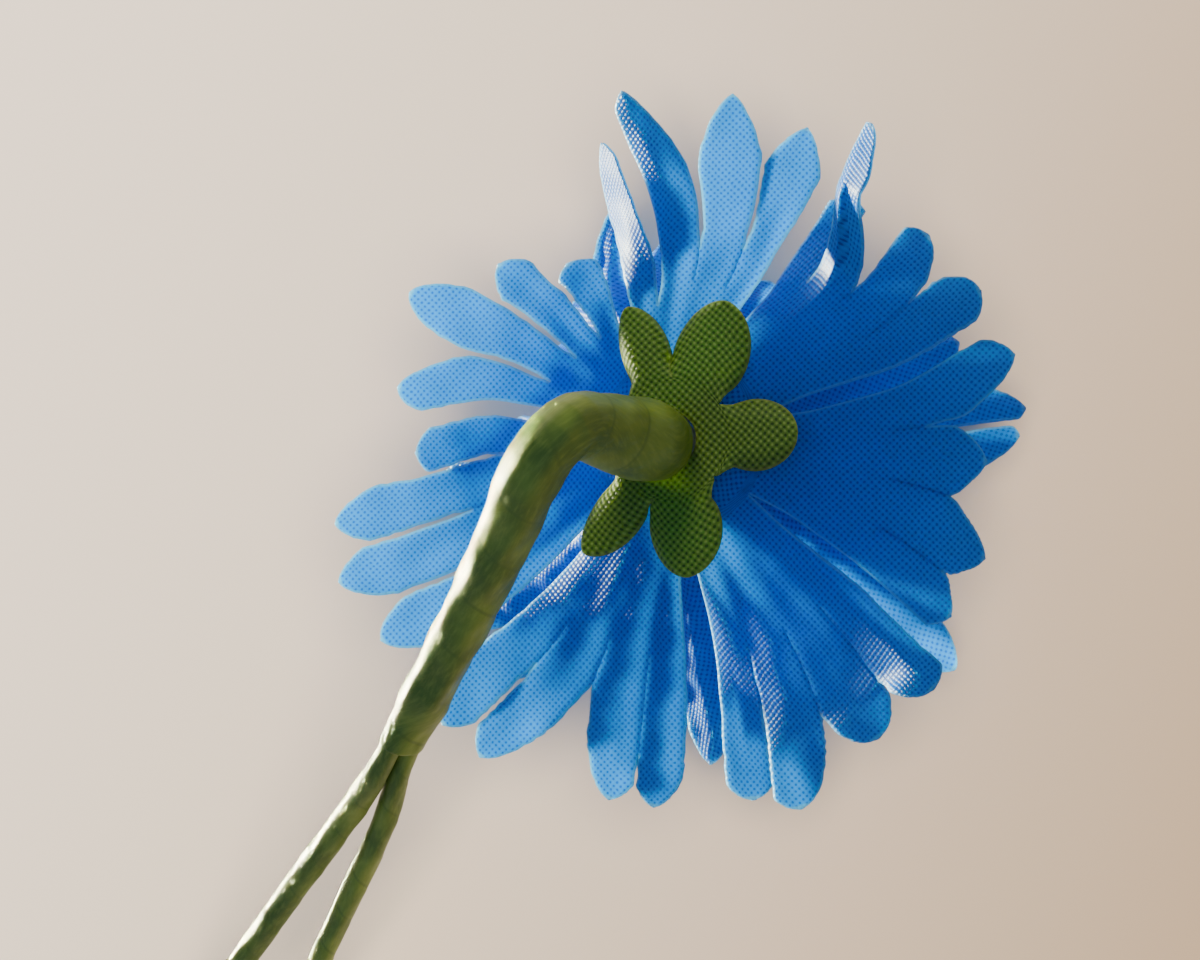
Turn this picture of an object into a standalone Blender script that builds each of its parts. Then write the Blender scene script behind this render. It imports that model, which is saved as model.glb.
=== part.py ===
"""Cornflower boutonniere: a cloth flower on two taped wires, lying face down.

The bloom is die-cut cloth: a green calyx over three blue petal layers, all threaded on one peg. Its
axis is vertical, so the petals point out and down, and the tips of the inner ones stand on the floor.
The stem rises from the calyx, bends over and slopes down to two legs, whose tips touch the floor too.

Sizes are in millimetres and angles in degrees until a mesh is made, which is in metres. The bloom's
axis is x = y = 0 there, and an empty shifts the whole to stand with its origin at the bottom centre.
"""

import math
import random
from dataclasses import dataclass

import bmesh
import bpy
import numpy as np
from mathutils import Vector

MM = 0.001
CLOTH = 0.6
CLEAR = 0.3

# The peg and the stack of cloth discs on it, from the face of the bloom up to its back.
PEG_RADIUS = 1.5
PEG_FLANGE_RADIUS = 2.5
PEG_FLANGE = 1.0
PEG_SOCKET_RADIUS = 1.15
PEG_SOCKET_DEPTH = 3.0
HOLE_RADIUS = 1.9
INNER_HEIGHT = 15.3
STEP_UP = CLOTH + CLEAR
MIDDLE_HEIGHT = INNER_HEIGHT + STEP_UP
OUTER_HEIGHT = MIDDLE_HEIGHT + STEP_UP
CALYX_HEIGHT = OUTER_HEIGHT + STEP_UP
PEG_TOP = CALYX_HEIGHT + CLOTH / 2
PEG_BOTTOM = INNER_HEIGHT - CLOTH / 2 - CLEAR - PEG_FLANGE

# The stem: tape round two wires, which part at the fork.
WIRE_RADIUS = 0.4
WIRE_OFFSET = 0.5
FORK_OFFSET = 0.9
FORK_SPREAD_LENGTH = 6.0
TAPE_BORE = 1.15
TAPE_BORE_AT_PEG = 1.9
TAPE_WALL_AT_FORK = 0.35
LEG_BORE = 0.6
LEG_TAPE_AT_FORK = 0.78
LEG_A_RADIUS = 1.0
LEG_B_RADIUS = 0.88
WIRE_SHOWS = 0.5
WIRE_SETTLE_LENGTH = 3.5
SPLIT_TILT = 25.0


@dataclass(frozen=True)
class Floret:
    """One floret of four lobes: how far each lobe tip swings round the bloom, how far from the axis it
    reaches along the cloth, how it tips towards the back of the bloom, and how it turns edge on."""

    turns: tuple
    reaches: tuple
    leans: tuple = (0, 0, 0, 0)
    rolls: tuple = (0, 0, 0, 0)


@dataclass(frozen=True)
class PetalLayer:
    """One die-cut disc of cloth. It is flat to bend_radius, then turns down from the flat to
    lean_start and opens again to lean_end at its tips, both measured from the axis on the face side."""

    height: float
    bend_radius: float
    lean_start: float
    lean_end: float
    first_azimuth: float
    florets: tuple
    slit: float = 6.0
    notch: float = 15.0
    full_reach: float = 25.0
    lobe_half_width: float = 2.15
    pleat: float = 0.7

    def floor(self, point):
        """The same point, no lower than cloth that lies on the floor."""
        return Vector((point.x, point.y, max(point.z, CLOTH / 2)))


LOBES = 4
BEND_LENGTH = 2.5
SLIT_GAP = 0.4
LOBE_GAP = 0.36
WIDEST = 0.56
ROOT_WIDTH = 0.72
TIP_BLUNTNESS = 0.62
LOBE_ROWS = (0.2, 0.42, 0.64, 0.86)

OUTER = PetalLayer(
    height=OUTER_HEIGHT,
    bend_radius=3.3,
    lean_start=69,
    lean_end=93,
    first_azimuth=38.8,
    florets=(
        Floret((-4, 3, -2, -3), (23.3, 26.5, 26.0, 24.0), (0, 4, -2, -4), (30, 10, 0, -10)),
        Floret((4, 10, 7, 6), (22.3, 26.8, 22.8, 23.5), (-2, 6, 8, 6), (0, 25, 0, -10)),
        Floret((5, 0, -4, -3), (25.2, 22.5, 24.0, 23.6), (4, 0, 6, 4), (0, 0, 10, 0)),
        Floret((-2, 0, -3, 1), (25.8, 26.0, 27.5, 26.0), (2, 0, 0, -4), (15, 0, 0, -20)),
        Floret((-2, 2, 1, 3), (27.0, 27.0, 28.0, 29.0), (-2, 0, 2, 4), (0, 10, -10, 20)),
        Floret((-3, -1, 3, 5), (28.0, 29.3, 29.0, 22.5), (6, 6, 4, 0), (0, 10, 0, -10)),
        Floret((6, 2, 1, 2), (24.5, 26.2, 22.5, 18.5), (0, -3, -8, -12), (0, 0, 10, 10)),
    ),
)


def drawn_florets(seed, floret_reaches, reach_range, turn_range, lean_range, roll_range):
    """Florets whose lobes vary a little, for the layers that hide under the outer one."""
    draw = random.Random(seed)

    def four(middle, spread):
        return tuple(middle + draw.uniform(-spread, spread) for _ in range(LOBES))

    return tuple(
        Floret(four(0, turn_range), four(reach, reach_range), four(0, lean_range), four(0, roll_range))
        for reach in floret_reaches
    )


MIDDLE = PetalLayer(
    height=MIDDLE_HEIGHT,
    bend_radius=3.0,
    lean_start=50,
    lean_end=74,
    first_azimuth=64.5,
    florets=drawn_florets(11, (22.5, 23.8, 24.2, 24.3, 24.8, 28.0, 25.5), 0.8, 1.5, 3.0, 12.0),
)

INNER = PetalLayer(
    height=INNER_HEIGHT,
    bend_radius=2.6,
    lean_start=20,
    lean_end=48,
    first_azimuth=10.0,
    florets=drawn_florets(23, (22.0,) * 5, 0.4, 1.5, 2.5, 10.0),
    slit=5.6,
    notch=12.5,
    full_reach=21.0,
    lobe_half_width=1.6,
    pleat=0.5,
)

# The calyx: azimuth, length and half width of each sepal, and where neighbours part.
SEPALS = (
    (57.0, 10.2, 1.8),
    (13.0, 10.6, 2.5),
    (-51.0, 9.4, 2.4),
    (-136.0, 9.9, 2.5),
    (177.0, 10.5, 1.9),
    (118.0, 9.6, 2.2),
)
SEPAL_NOTCH = 4.2
SEPAL_BEND = 2.6
SEPAL_LEAN_START = 84.0
SEPAL_LEAN_END = 96.0
SEPAL_CUP = 0.55

# The stem's middle line from the calyx to the fork, and the tape's radius along it.
STEM_ROUTE = (
    (-0.7, 0.5, PEG_TOP + CLEAR),
    (-0.7, 0.5, PEG_TOP + CLEAR + 0.8),
    (-1.0, 1.1, 22.0),
    (-1.2, 1.8, 25.2),
    (-1.3, 2.3, 28.2),
    (-2.0, 2.4, 30.2),
    (-3.8, 2.4, 31.3),
    (-6.0, 2.4, 31.0),
    (-9.8, 2.3, 29.1),
    (-15.6, 2.4, 26.5),
    (-22.6, 2.6, 23.4),
    (-29.3, 2.8, 20.5),
)
TAPE_RADII = (
    (0.0, 2.7),
    (2.0, 3.05),
    (5.0, 2.8),
    (10.0, 2.3),
    (16.0, 2.15),
    (22.0, 2.05),
    (26.0, 1.95),
    (36.0, 1.75),
    (44.0, 1.65),
)
MOUTH_RADIUS_ALONG_SPLIT = 1.85
MOUTH_RADIUS_ACROSS = 1.45

# Where the legs go after the fork. Each ends with its tape on the floor.
LEG_A_ROUTE = ((-36.8, 4.3, 17.1), (-44.3, 5.8, 13.6), (-52.7, 7.3, 9.9), (-61.3, 8.8, 6.2), (-68.8, 10.1, 3.1))
LEG_A_TIP = (-73.3, 10.9)
LEG_B_ROUTE = ((-36.0, 2.1, 15.9), (-42.3, 2.3, 12.6), (-49.0, 2.5, 9.3), (-56.0, 2.5, 5.9), (-62.0, 2.4, 3.1))
LEG_B_TIP = (-66.0, 2.3)

# The tuft of stamens under the peg. Each ring of threads has a count, a first azimuth, how far from the
# axis the threads start, how they lean out and how long they are.
TUFT_CORE_RADIUS = 2.2
TUFT_CORE_LENGTH = 4.5
STAMEN_RADIUS = 0.36
STAMEN_HEAD_RADIUS = 0.62
STAMEN_RINGS = ((8, 7.0, 0.9, 17.0, 9.0), (4, 27.0, 0.85, 3.0, 9.8))


def ease(value, start, end):
    """A smooth step from 0 at start to 1 at end."""
    share = np.clip((value - start) / (end - start), 0, 1)
    return share * share * (3 - 2 * share)


def mix(first, second, share):
    return first + (second - first) * share


def material(name, colour, roughness, metallic=0.0, sheen=0.0):
    """A Principled material of one plain colour."""
    made = bpy.data.materials.new(name)
    made.use_nodes = True
    shader = made.node_tree.nodes["Principled BSDF"]
    shader.inputs["Base Color"].default_value = (*colour, 1)
    shader.inputs["Roughness"].default_value = roughness
    shader.inputs["Metallic"].default_value = metallic
    shader.inputs["Sheen Weight"].default_value = sheen
    made.diffuse_color = (*colour, 1)
    return made


def new_object(name, bm, finish, smooth=True):
    """Turns a bmesh in millimetres into an object in metres."""
    bmesh.ops.scale(bm, vec=(MM, MM, MM), verts=bm.verts)
    mesh = bpy.data.meshes.new(name)
    bm.to_mesh(mesh)
    bm.free()
    mesh.materials.append(finish)
    if smooth:
        mesh.shade_smooth()
        mesh.set_sharp_from_angle(angle=math.radians(40))
    made = bpy.data.objects.new(name, mesh)
    bpy.context.scene.collection.objects.link(made)
    return made


def cloth_object(name, bm, finish):
    """Gives a sheet of triangles the cloth's thickness, split alike on both faces."""
    bmesh.ops.recalc_face_normals(bm, faces=bm.faces)
    made = new_object(name, bm, finish)
    wall = made.modifiers.new("thickness", "SOLIDIFY")
    wall.thickness = CLOTH * MM
    wall.offset = 0
    wall.use_even_offset = False
    return made


class Profile:
    """The line that a petal follows out from the axis: radius and height against length along the
    cloth. Its lean is the angle from the axis on the face side, so 90 lies flat."""

    STEPS_PER_MM = 10

    def __init__(self, height, bend_radius, lean_start, lean_end, full_reach, ramp_start, ramp_end):
        self.height = height
        self.bend_radius = bend_radius
        self.lean_start = lean_start
        self.lean_end = lean_end
        self.full_reach = full_reach
        self.ramp = (ramp_start, ramp_end)

    def lean(self, along, extra):
        bend_end = self.bend_radius + BEND_LENGTH
        turned = 90 + (self.lean_start - 90) * ease(along, self.bend_radius, bend_end)
        opened = (self.lean_end - self.lean_start) * np.clip(
            (along - bend_end) / (self.full_reach - bend_end), 0, None
        )
        return np.radians(turned + opened + extra * ease(along, *self.ramp))

    def point(self, along, azimuth, extra=0.0, lift=0.0):
        """The place at a length along the cloth and an azimuth, lifted towards the bloom's back."""
        steps = max(2, int(along * self.STEPS_PER_MM))
        lengths = (np.arange(steps) + 0.5) * along / steps
        leans = self.lean(lengths, extra)
        end = float(self.lean(along, extra))
        radius = float(np.sin(leans).sum()) * along / steps + lift * math.cos(end)
        height = self.height - float(np.cos(leans).sum()) * along / steps + lift * math.sin(end)
        turn = math.radians(azimuth)
        return Vector((radius * math.cos(turn), radius * math.sin(turn), height))

    def radius(self, along, extra=0.0):
        """The distance from the axis at a length along the cloth."""
        return self.point(along, 0.0, extra).x


def ring(bm, profile, along, count, phase):
    """A closed row of vertices round the axis."""
    return [bm.verts.new(profile.point(along, phase + 360 * k / count)) for k in range(count)]


def bridge_rows(bm, low, high, closed=False):
    """Triangles between two rows of equal length, or from a row to one with twice its steps."""
    twice = len(high) > len(low)
    steps = len(low) if closed else len(low) - 1
    for k in range(steps):
        a, b = low[k], low[(k + 1) % len(low)]
        if not twice:
            c, d = high[k], high[(k + 1) % len(high)]
            for face in ((a, b, d), (a, d, c)) if k % 2 else ((a, b, c), (b, d, c)):
                bm.faces.new(face)
            continue
        c, d, e = (high[(2 * k + i) % len(high)] for i in range(3))
        for face in ((a, d, c), (a, b, d), (b, e, d)):
            bm.faces.new(face)


def petal_half_width(share, layer):
    """A lobe's half width against the share of its length: it swells, then comes to a round point."""
    if share < WIDEST:
        return layer.lobe_half_width * mix(ROOT_WIDTH, 1.0, math.sin(share / WIDEST * math.pi / 2))
    return layer.lobe_half_width * (1 - ((share - WIDEST) / (1 - WIDEST)) ** 2) ** TIP_BLUNTNESS


def lobe_azimuth(layer, number, along):
    """The middle azimuth of a lobe, counted round the whole layer, at a length along the cloth."""
    count = LOBES * len(layer.florets)
    floret = layer.florets[number // LOBES % len(layer.florets)]
    even = layer.first_azimuth + (180 - 360 / LOBES / 2) / len(layer.florets) - 360 * number / count
    swung = float(ease(along, layer.notch, floret.reaches[number % LOBES]))
    return even + floret.turns[number % LOBES] * swung


def lobe_room(layer, number, side, along):
    """Half the angle between a lobe's middle and its neighbour's."""
    return abs(lobe_azimuth(layer, number - side, along) - lobe_azimuth(layer, number, along)) / 2


def add_lobe(bm, profile, layer, root, number, root_leans):
    """One lobe: rows of three vertices from the palm's edge to its tip."""
    floret, index = layer.florets[number // LOBES], number % LOBES
    reach = floret.reaches[index]
    lean, roll = floret.leans[index], math.radians(floret.rolls[index])
    row = root
    for share in LOBE_ROWS:
        along = mix(layer.notch, reach, share)
        bent = float(ease(share, 0, 1))
        centre = lobe_azimuth(layer, number, along)
        tilt = roll * bent
        arch = layer.pleat * (1 - share)
        made = []
        for side in (-1, 0, 1):
            extra = mix(root_leans[side + 1], lean, bent)
            radius = profile.radius(along, extra)
            room = math.radians(lobe_room(layer, number, side, along)) * radius - LOBE_GAP / 2
            width = min(petal_half_width(share, layer), room)
            lift = side * width * math.sin(tilt) + arch * (0.5 if side == 0 else -0.5)
            swing = math.degrees(side * width * math.cos(tilt) / radius)
            made.append(bm.verts.new(layer.floor(profile.point(along, centre + swing, extra, lift))))
        bridge_rows(bm, row, made)
        row = made
    tip = bm.verts.new(layer.floor(profile.point(reach, lobe_azimuth(layer, number, reach), lean)))
    bm.faces.new((row[0], row[1], tip))
    bm.faces.new((row[1], row[2], tip))


def add_floret(bm, profile, layer, root, floret_number):
    """One floret: a pleated palm from the slits to the notches, and its lobes."""
    floret = layer.florets[floret_number]
    half = 180 / len(layer.florets)
    azimuth = layer.first_azimuth - 2 * half * floret_number
    columns = 2 * LOBES

    def column_lean(column):
        if column % 2:
            return floret.leans[column // 2]
        near = [floret.leans[k] for k in (column // 2 - 1, column // 2) if 0 <= k < LOBES]
        return sum(near) / len(near)

    leans = [column_lean(column) for column in range(columns + 1)]
    row = root
    rows = 4
    for step in range(1, rows + 1):
        share = step / rows
        along = mix(layer.slit, layer.notch, share)
        gap = math.degrees(SLIT_GAP / profile.radius(along)) * float(ease(share, 0, 0.5))
        made = []
        for column in range(columns + 1):
            swing = (1 - 2 * column / columns) * (half - gap)
            fold = layer.pleat * share * (0.5 if column % 2 else -0.5)
            made.append(bm.verts.new(profile.point(along, azimuth + swing, leans[column], fold)))
        bridge_rows(bm, row, made)
        row = made
    for index in range(LOBES):
        first = 2 * index
        lobe_root = [row[first + 2], row[first + 1], row[first]]
        root_leans = [leans[first + 2], leans[first + 1], leans[first]]
        add_lobe(bm, profile, layer, lobe_root, LOBES * floret_number + index, root_leans)


def petal_layer(name, layer, finish):
    """A whole die-cut layer: a disc with a hole, bent over its bead, then its florets."""
    profile = Profile(
        layer.height,
        layer.bend_radius,
        layer.lean_start,
        layer.lean_end,
        layer.full_reach,
        layer.slit,
        layer.notch + 3,
    )
    bm = bmesh.new()
    step = 360 / len(layer.florets)
    columns = 2 * LOBES * len(layer.florets)
    phase = layer.first_azimuth + step / 2
    rows = [ring(bm, profile, along, columns // 2, phase) for along in (HOLE_RADIUS, layer.bend_radius)]
    for share in (1 / 3, 2 / 3, 1):
        rows.append(ring(bm, profile, mix(layer.bend_radius, layer.slit, share), columns, phase))
    for low, high in zip(rows, rows[1:]):
        bridge_rows(bm, low, high, closed=True)
    edge = rows[-1]
    for number in range(len(layer.florets)):
        start = columns - 2 * LOBES * number
        root = [edge[(start - column) % columns] for column in range(2 * LOBES + 1)]
        add_floret(bm, profile, layer, root, number)
    return cloth_object(name, bm, finish)


def calyx(finish):
    """The green star: six cupped sepals round a disc."""
    profile = Profile(CALYX_HEIGHT, SEPAL_BEND, SEPAL_LEAN_START, SEPAL_LEAN_END, 10.0, SEPAL_NOTCH, 9.0)
    bm = bmesh.new()
    azimuths = [sepal[0] for sepal in SEPALS]
    order = sorted(range(len(SEPALS)), key=lambda k: azimuths[k] % 360)
    per_sepal = 4
    edge_azimuths = []
    for place, k in enumerate(order):
        centre = azimuths[k] % 360
        before = azimuths[order[place - 1]] % 360 - (360 if place == 0 else 0)
        after = azimuths[order[(place + 1) % len(order)]] % 360 + (360 if place == len(order) - 1 else 0)
        low, high = (before + centre) / 2, (centre + after) / 2
        edge_azimuths += [low, (low + centre) / 2, centre, (centre + high) / 2]
    rows = []
    for along in (HOLE_RADIUS, 3.1, SEPAL_NOTCH):
        rows.append([bm.verts.new(profile.point(along, azimuth)) for azimuth in edge_azimuths])
    for low, high in zip(rows, rows[1:]):
        bridge_rows(bm, low, high, closed=True)
    for place, k in enumerate(order):
        centre, reach, half_width = SEPALS[k]
        row = [rows[-1][(per_sepal * place + i) % len(edge_azimuths)] for i in range(per_sepal + 1)]
        for share in (0.2, 0.42, 0.64, 0.84, 0.95):
            along = mix(SEPAL_NOTCH, reach, share)
            swell = math.sin(min(share / 0.45, 1) * math.pi / 2)
            width = half_width * mix(0.72, 1.0, swell)
            if share > 0.45:
                width = half_width * (1 - ((share - 0.45) / 0.55) ** 2) ** 0.6
            made = []
            for side in (-1, -0.5, 0, 0.5, 1):
                swing = math.degrees(side * width / profile.radius(along))
                drop = SEPAL_CUP * side * side * (width / half_width) * float(ease(share, 0, 0.4))
                made.append(bm.verts.new(profile.point(along, centre + swing, 0, -drop)))
            bridge_rows(bm, row, made)
            row = made
        tip = bm.verts.new(profile.point(reach, centre, 0, -0.1))
        for first, second in zip(row, row[1:]):
            bm.faces.new((first, second, tip))
    return cloth_object("calyx", bm, finish)


def smooth_route(points, spacing):
    """Points along a smooth curve through the given ones, about this far apart."""
    points = np.array(points, float)
    ends = [2 * points[0] - points[1], *points, 2 * points[-1] - points[-2]]
    made = []
    for k in range(1, len(ends) - 2):
        p0, p1, p2, p3 = ends[k - 1 : k + 3]
        pieces = max(1, round(float(np.linalg.norm(p2 - p1)) / spacing))
        for share in np.arange(pieces) / pieces:
            made.append(
                0.5
                * (
                    2 * p1
                    + (p2 - p0) * share
                    + (2 * p0 - 5 * p1 + 4 * p2 - p3) * share**2
                    + (3 * p1 - p0 - 3 * p2 + p3) * share**3
                )
            )
    made.append(points[-1])
    return np.array(made)


def frames(route):
    """The direction, the sideways and the upward unit vectors at each point of a route."""
    ahead = np.gradient(route, axis=0)
    ahead /= np.linalg.norm(ahead, axis=1)[:, None]
    side = np.array([0.0, 1.0, 0.0]) - ahead[:, 1:2] * ahead
    side /= np.linalg.norm(side, axis=1)[:, None]
    return ahead, side, np.cross(side, ahead)


def lengths_along(route):
    """The length of the route up to each of its points."""
    return np.concatenate([[0], np.cumsum(np.linalg.norm(np.diff(route, axis=0), axis=1))])


def split_axes(route):
    """The direction in which the two wires lie beside each other, and the one across it."""
    _, side, up = frames(route)
    tilt = math.radians(SPLIT_TILT)
    return math.cos(tilt) * up + math.sin(tilt) * side, math.cos(tilt) * side - math.sin(tilt) * up


def tube(name, route, radii, finish, sides, bore=None):
    """A tube along a route. radii and bore hold, for each point, half its size along the split and
    across it. With no bore it is solid."""
    along, across = split_axes(route)
    bm = bmesh.new()

    def skin(sizes):
        rows = []
        for centre, a, b, (wide, deep) in zip(route, along, across, sizes):
            angles = [2 * math.pi * k / sides for k in range(sides)]
            rows.append([bm.verts.new(centre + a * wide * math.cos(t) + b * deep * math.sin(t)) for t in angles])
        for low, high in zip(rows, rows[1:]):
            bridge_rows(bm, low, high, closed=True)
        return rows[0], rows[-1]

    outer = skin(radii)
    if bore is None:
        for end in outer:
            bm.faces.new(end)
    else:
        inner = skin(bore)
        for rim, lip in zip(outer, inner):
            bridge_rows(bm, rim, lip, closed=True)
    bmesh.ops.recalc_face_normals(bm, faces=bm.faces)
    return new_object(name, bm, finish)


def turned(name, outline, finish, sides):
    """A solid of revolution about the bloom's axis. The outline runs from the axis back to it."""
    bm = bmesh.new()
    rows = []
    for radius, height in outline:
        if radius == 0:
            rows.append([bm.verts.new((0, 0, height))])
            continue
        angles = [2 * math.pi * k / sides for k in range(sides)]
        rows.append([bm.verts.new((radius * math.cos(t), radius * math.sin(t), height)) for t in angles])
    for low, high in zip(rows, rows[1:]):
        if len(low) == len(high):
            bridge_rows(bm, low, high, closed=True)
            continue
        pole, rim = (low[0], high) if len(low) == 1 else (high[0], low)
        for k in range(sides):
            bm.faces.new((pole, rim[k], rim[(k + 1) % sides]))
    bmesh.ops.recalc_face_normals(bm, faces=bm.faces)
    return new_object(name, bm, finish)


def peg(finish):
    """The peg: a flange under the inner petals, a shank through the discs, a socket for the wires."""
    socket_floor = PEG_TOP - PEG_SOCKET_DEPTH
    flange_top = PEG_BOTTOM + PEG_FLANGE
    outline = (
        (0, PEG_BOTTOM),
        (PEG_FLANGE_RADIUS, PEG_BOTTOM),
        (PEG_FLANGE_RADIUS, flange_top),
        (PEG_RADIUS, flange_top),
        (PEG_RADIUS, PEG_TOP),
        (PEG_SOCKET_RADIUS, PEG_TOP),
        (PEG_SOCKET_RADIUS, socket_floor),
        (0, socket_floor),
    )
    return turned("hub", outline, finish, 20)


def stamens(finish):
    """A tuft of headed threads that stand out of one small core, joined to it."""
    top = PEG_BOTTOM - CLEAR
    core = turned(
        "stamens",
        (
            (0, top),
            (TUFT_CORE_RADIUS, top),
            (TUFT_CORE_RADIUS, top - 0.5 * TUFT_CORE_LENGTH),
            (0.75 * TUFT_CORE_RADIUS, top - 0.85 * TUFT_CORE_LENGTH),
            (0, top - TUFT_CORE_LENGTH),
        ),
        finish,
        12,
    )
    threads = bpy.data.collections.new("threads")
    bpy.context.scene.collection.children.link(threads)
    for number, (count, phase, offset, lean, length) in enumerate(STAMEN_RINGS):
        for k in range(count):
            turn = math.radians(360 * k / count + phase)
            tilt = math.radians(lean)
            ahead = Vector((math.sin(tilt) * math.cos(turn), math.sin(tilt) * math.sin(turn), -math.cos(tilt)))
            start = Vector((offset * math.cos(turn), offset * math.sin(turn), top - 1.2 - 0.5 * number))
            sizes = (
                (0.0, STAMEN_RADIUS),
                (0.9, STAMEN_RADIUS),
                (0.93, STAMEN_HEAD_RADIUS),
                (0.99, STAMEN_HEAD_RADIUS),
                (1.02, 0.3 * STAMEN_HEAD_RADIUS),
            )
            route = np.array([start + ahead * length * share for share, _ in sizes])
            radii = [(size, size) for _, size in sizes]
            thread = tube("thread", route, radii, finish, 6)
            bpy.context.scene.collection.objects.unlink(thread)
            threads.objects.link(thread)
    joined = core.modifiers.new("threads", "BOOLEAN")
    joined.operation = "UNION"
    joined.operand_type = "COLLECTION"
    joined.collection = threads
    joined.solver = "EXACT"
    graph = bpy.context.evaluated_depsgraph_get()
    mesh = bpy.data.meshes.new_from_object(core.evaluated_get(graph))
    core.modifiers.clear()
    core.data = mesh
    for thread in list(threads.objects):
        bpy.data.objects.remove(thread)
    bpy.data.collections.remove(threads)
    return core


def stem(tape, wire):
    """The tape round both wires, the two taped legs, and the wires from the peg to the legs' tips."""
    route = smooth_route(STEM_ROUTE, 1.7)
    lengths = lengths_along(route)
    total = lengths[-1]
    to_mouth = ease(lengths, total - FORK_SPREAD_LENGTH, total)
    plain = np.interp(lengths, *zip(*TAPE_RADII))
    radii = np.column_stack(
        [mix(plain, MOUTH_RADIUS_ALONG_SPLIT, to_mouth), mix(plain, MOUTH_RADIUS_ACROSS, to_mouth)]
    )
    inside = mix(TAPE_BORE_AT_PEG, TAPE_BORE, ease(lengths, 0, 4))
    bore = np.column_stack(
        [
            mix(inside, MOUTH_RADIUS_ALONG_SPLIT - TAPE_WALL_AT_FORK, to_mouth),
            mix(inside, MOUTH_RADIUS_ACROSS - TAPE_WALL_AT_FORK, to_mouth),
        ]
    )
    made = [tube("stem_tape", route, radii, tape, 12, bore)]
    split = split_axes(route)[0]
    ahead = frames(route)[0][-1]
    settled = ease(lengths, 0, WIRE_SETTLE_LENGTH)
    in_stem = route - np.outer(1 - settled, (*STEM_ROUTE[0][:2], 0))
    beside = mix(WIRE_OFFSET, FORK_OFFSET, to_mouth)[:, None] * split
    legs = (
        ("a", 1, LEG_A_ROUTE, LEG_A_TIP, LEG_A_RADIUS),
        ("b", -1, LEG_B_ROUTE, LEG_B_TIP, LEG_B_RADIUS),
    )
    for letter, sign, points, tip, full in legs:
        start = route[-1] + ahead * CLEAR + sign * FORK_OFFSET * split[-1]
        leg = smooth_route((start, start + ahead * 2.0, *points, (*tip, 0.95 * full)), 3.0)
        grown = mix(LEG_TAPE_AT_FORK, full, ease(lengths_along(leg), 0, 6))
        leg_bore = [(LEG_BORE, LEG_BORE)] * len(leg)
        made.append(tube(f"leg_tape_{letter}", leg, np.column_stack([grown, grown]), tape, 10, leg_bore))
        socket_floor = PEG_TOP - PEG_SOCKET_DEPTH
        in_peg = np.array([(0, 0, socket_floor + CLEAR), (0, 0, PEG_TOP)]) + sign * beside[0]
        end = leg[-1] + (leg[-1] - leg[-2]) / np.linalg.norm(leg[-1] - leg[-2]) * WIRE_SHOWS
        whole = np.vstack([in_peg, in_stem + sign * beside, leg[1:], [end]])
        round_wire = [(WIRE_RADIUS, WIRE_RADIUS)] * len(whole)
        made.append(tube(f"wire_{letter}", whole, round_wire, wire, 6))
    return made


def stand_on_origin(pieces):
    """Parents the pieces to an empty that puts the bottom centre of their box at the world's origin."""
    graph = bpy.context.evaluated_depsgraph_get()
    corners = []
    for piece in pieces:
        mesh = piece.evaluated_get(graph).to_mesh()
        corners += [vertex.co.copy() for vertex in mesh.vertices]
    low = Vector(min(corner[axis] for corner in corners) for axis in range(3))
    high = Vector(max(corner[axis] for corner in corners) for axis in range(3))
    frame = bpy.data.objects.new("boutonniere", None)
    bpy.context.scene.collection.objects.link(frame)
    frame.location = (-(low.x + high.x) / 2, -(low.y + high.y) / 2, -low.z)
    for piece in pieces:
        piece.parent = frame


def build():
    for leftover in list(bpy.data.objects):
        bpy.data.objects.remove(leftover)
    blue = material("blue_satin", (0.012, 0.16, 0.58), 0.5, sheen=0.4)
    green = material("green_satin", (0.09, 0.16, 0.012), 0.6, sheen=0.3)
    tape = material("floral_tape", (0.15, 0.20, 0.045), 0.7)
    steel = material("floral_wire", (0.45, 0.46, 0.45), 0.35, metallic=1.0)
    nylon = material("peg_nylon", (0.55, 0.58, 0.52), 0.45)
    violet = material("stamen_thread", (0.06, 0.02, 0.24), 0.6)
    pieces = [
        calyx(green),
        petal_layer("petals_outer", OUTER, blue),
        petal_layer("petals_middle", MIDDLE, blue),
        petal_layer("petals_inner", INNER, blue),
        peg(nylon),
        stamens(violet),
        *stem(tape, steel),
    ]
    stand_on_origin(pieces)


build()
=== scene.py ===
"""The looks of a cloth cornflower boutonniere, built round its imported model.

The flower lies face down: a green cloth calyx over three die-cut layers of blue satin, a tuft of stamens
under them, and two wires wound in green floral tape that part into two legs. Sizes are in millimetres
and angles in degrees until a mesh is made, which is in metres. Shapes are worked out round the bloom's
axis, and new_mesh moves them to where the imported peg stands.
"""

import logging
import math
import random
from dataclasses import dataclass, field
from enum import Enum

import bmesh
import bpy
import numpy as np
from bpy.types import Collection, Material, Mesh, Node, NodeSocket, NodeTree, Object
from mathutils import Matrix, Vector


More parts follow.
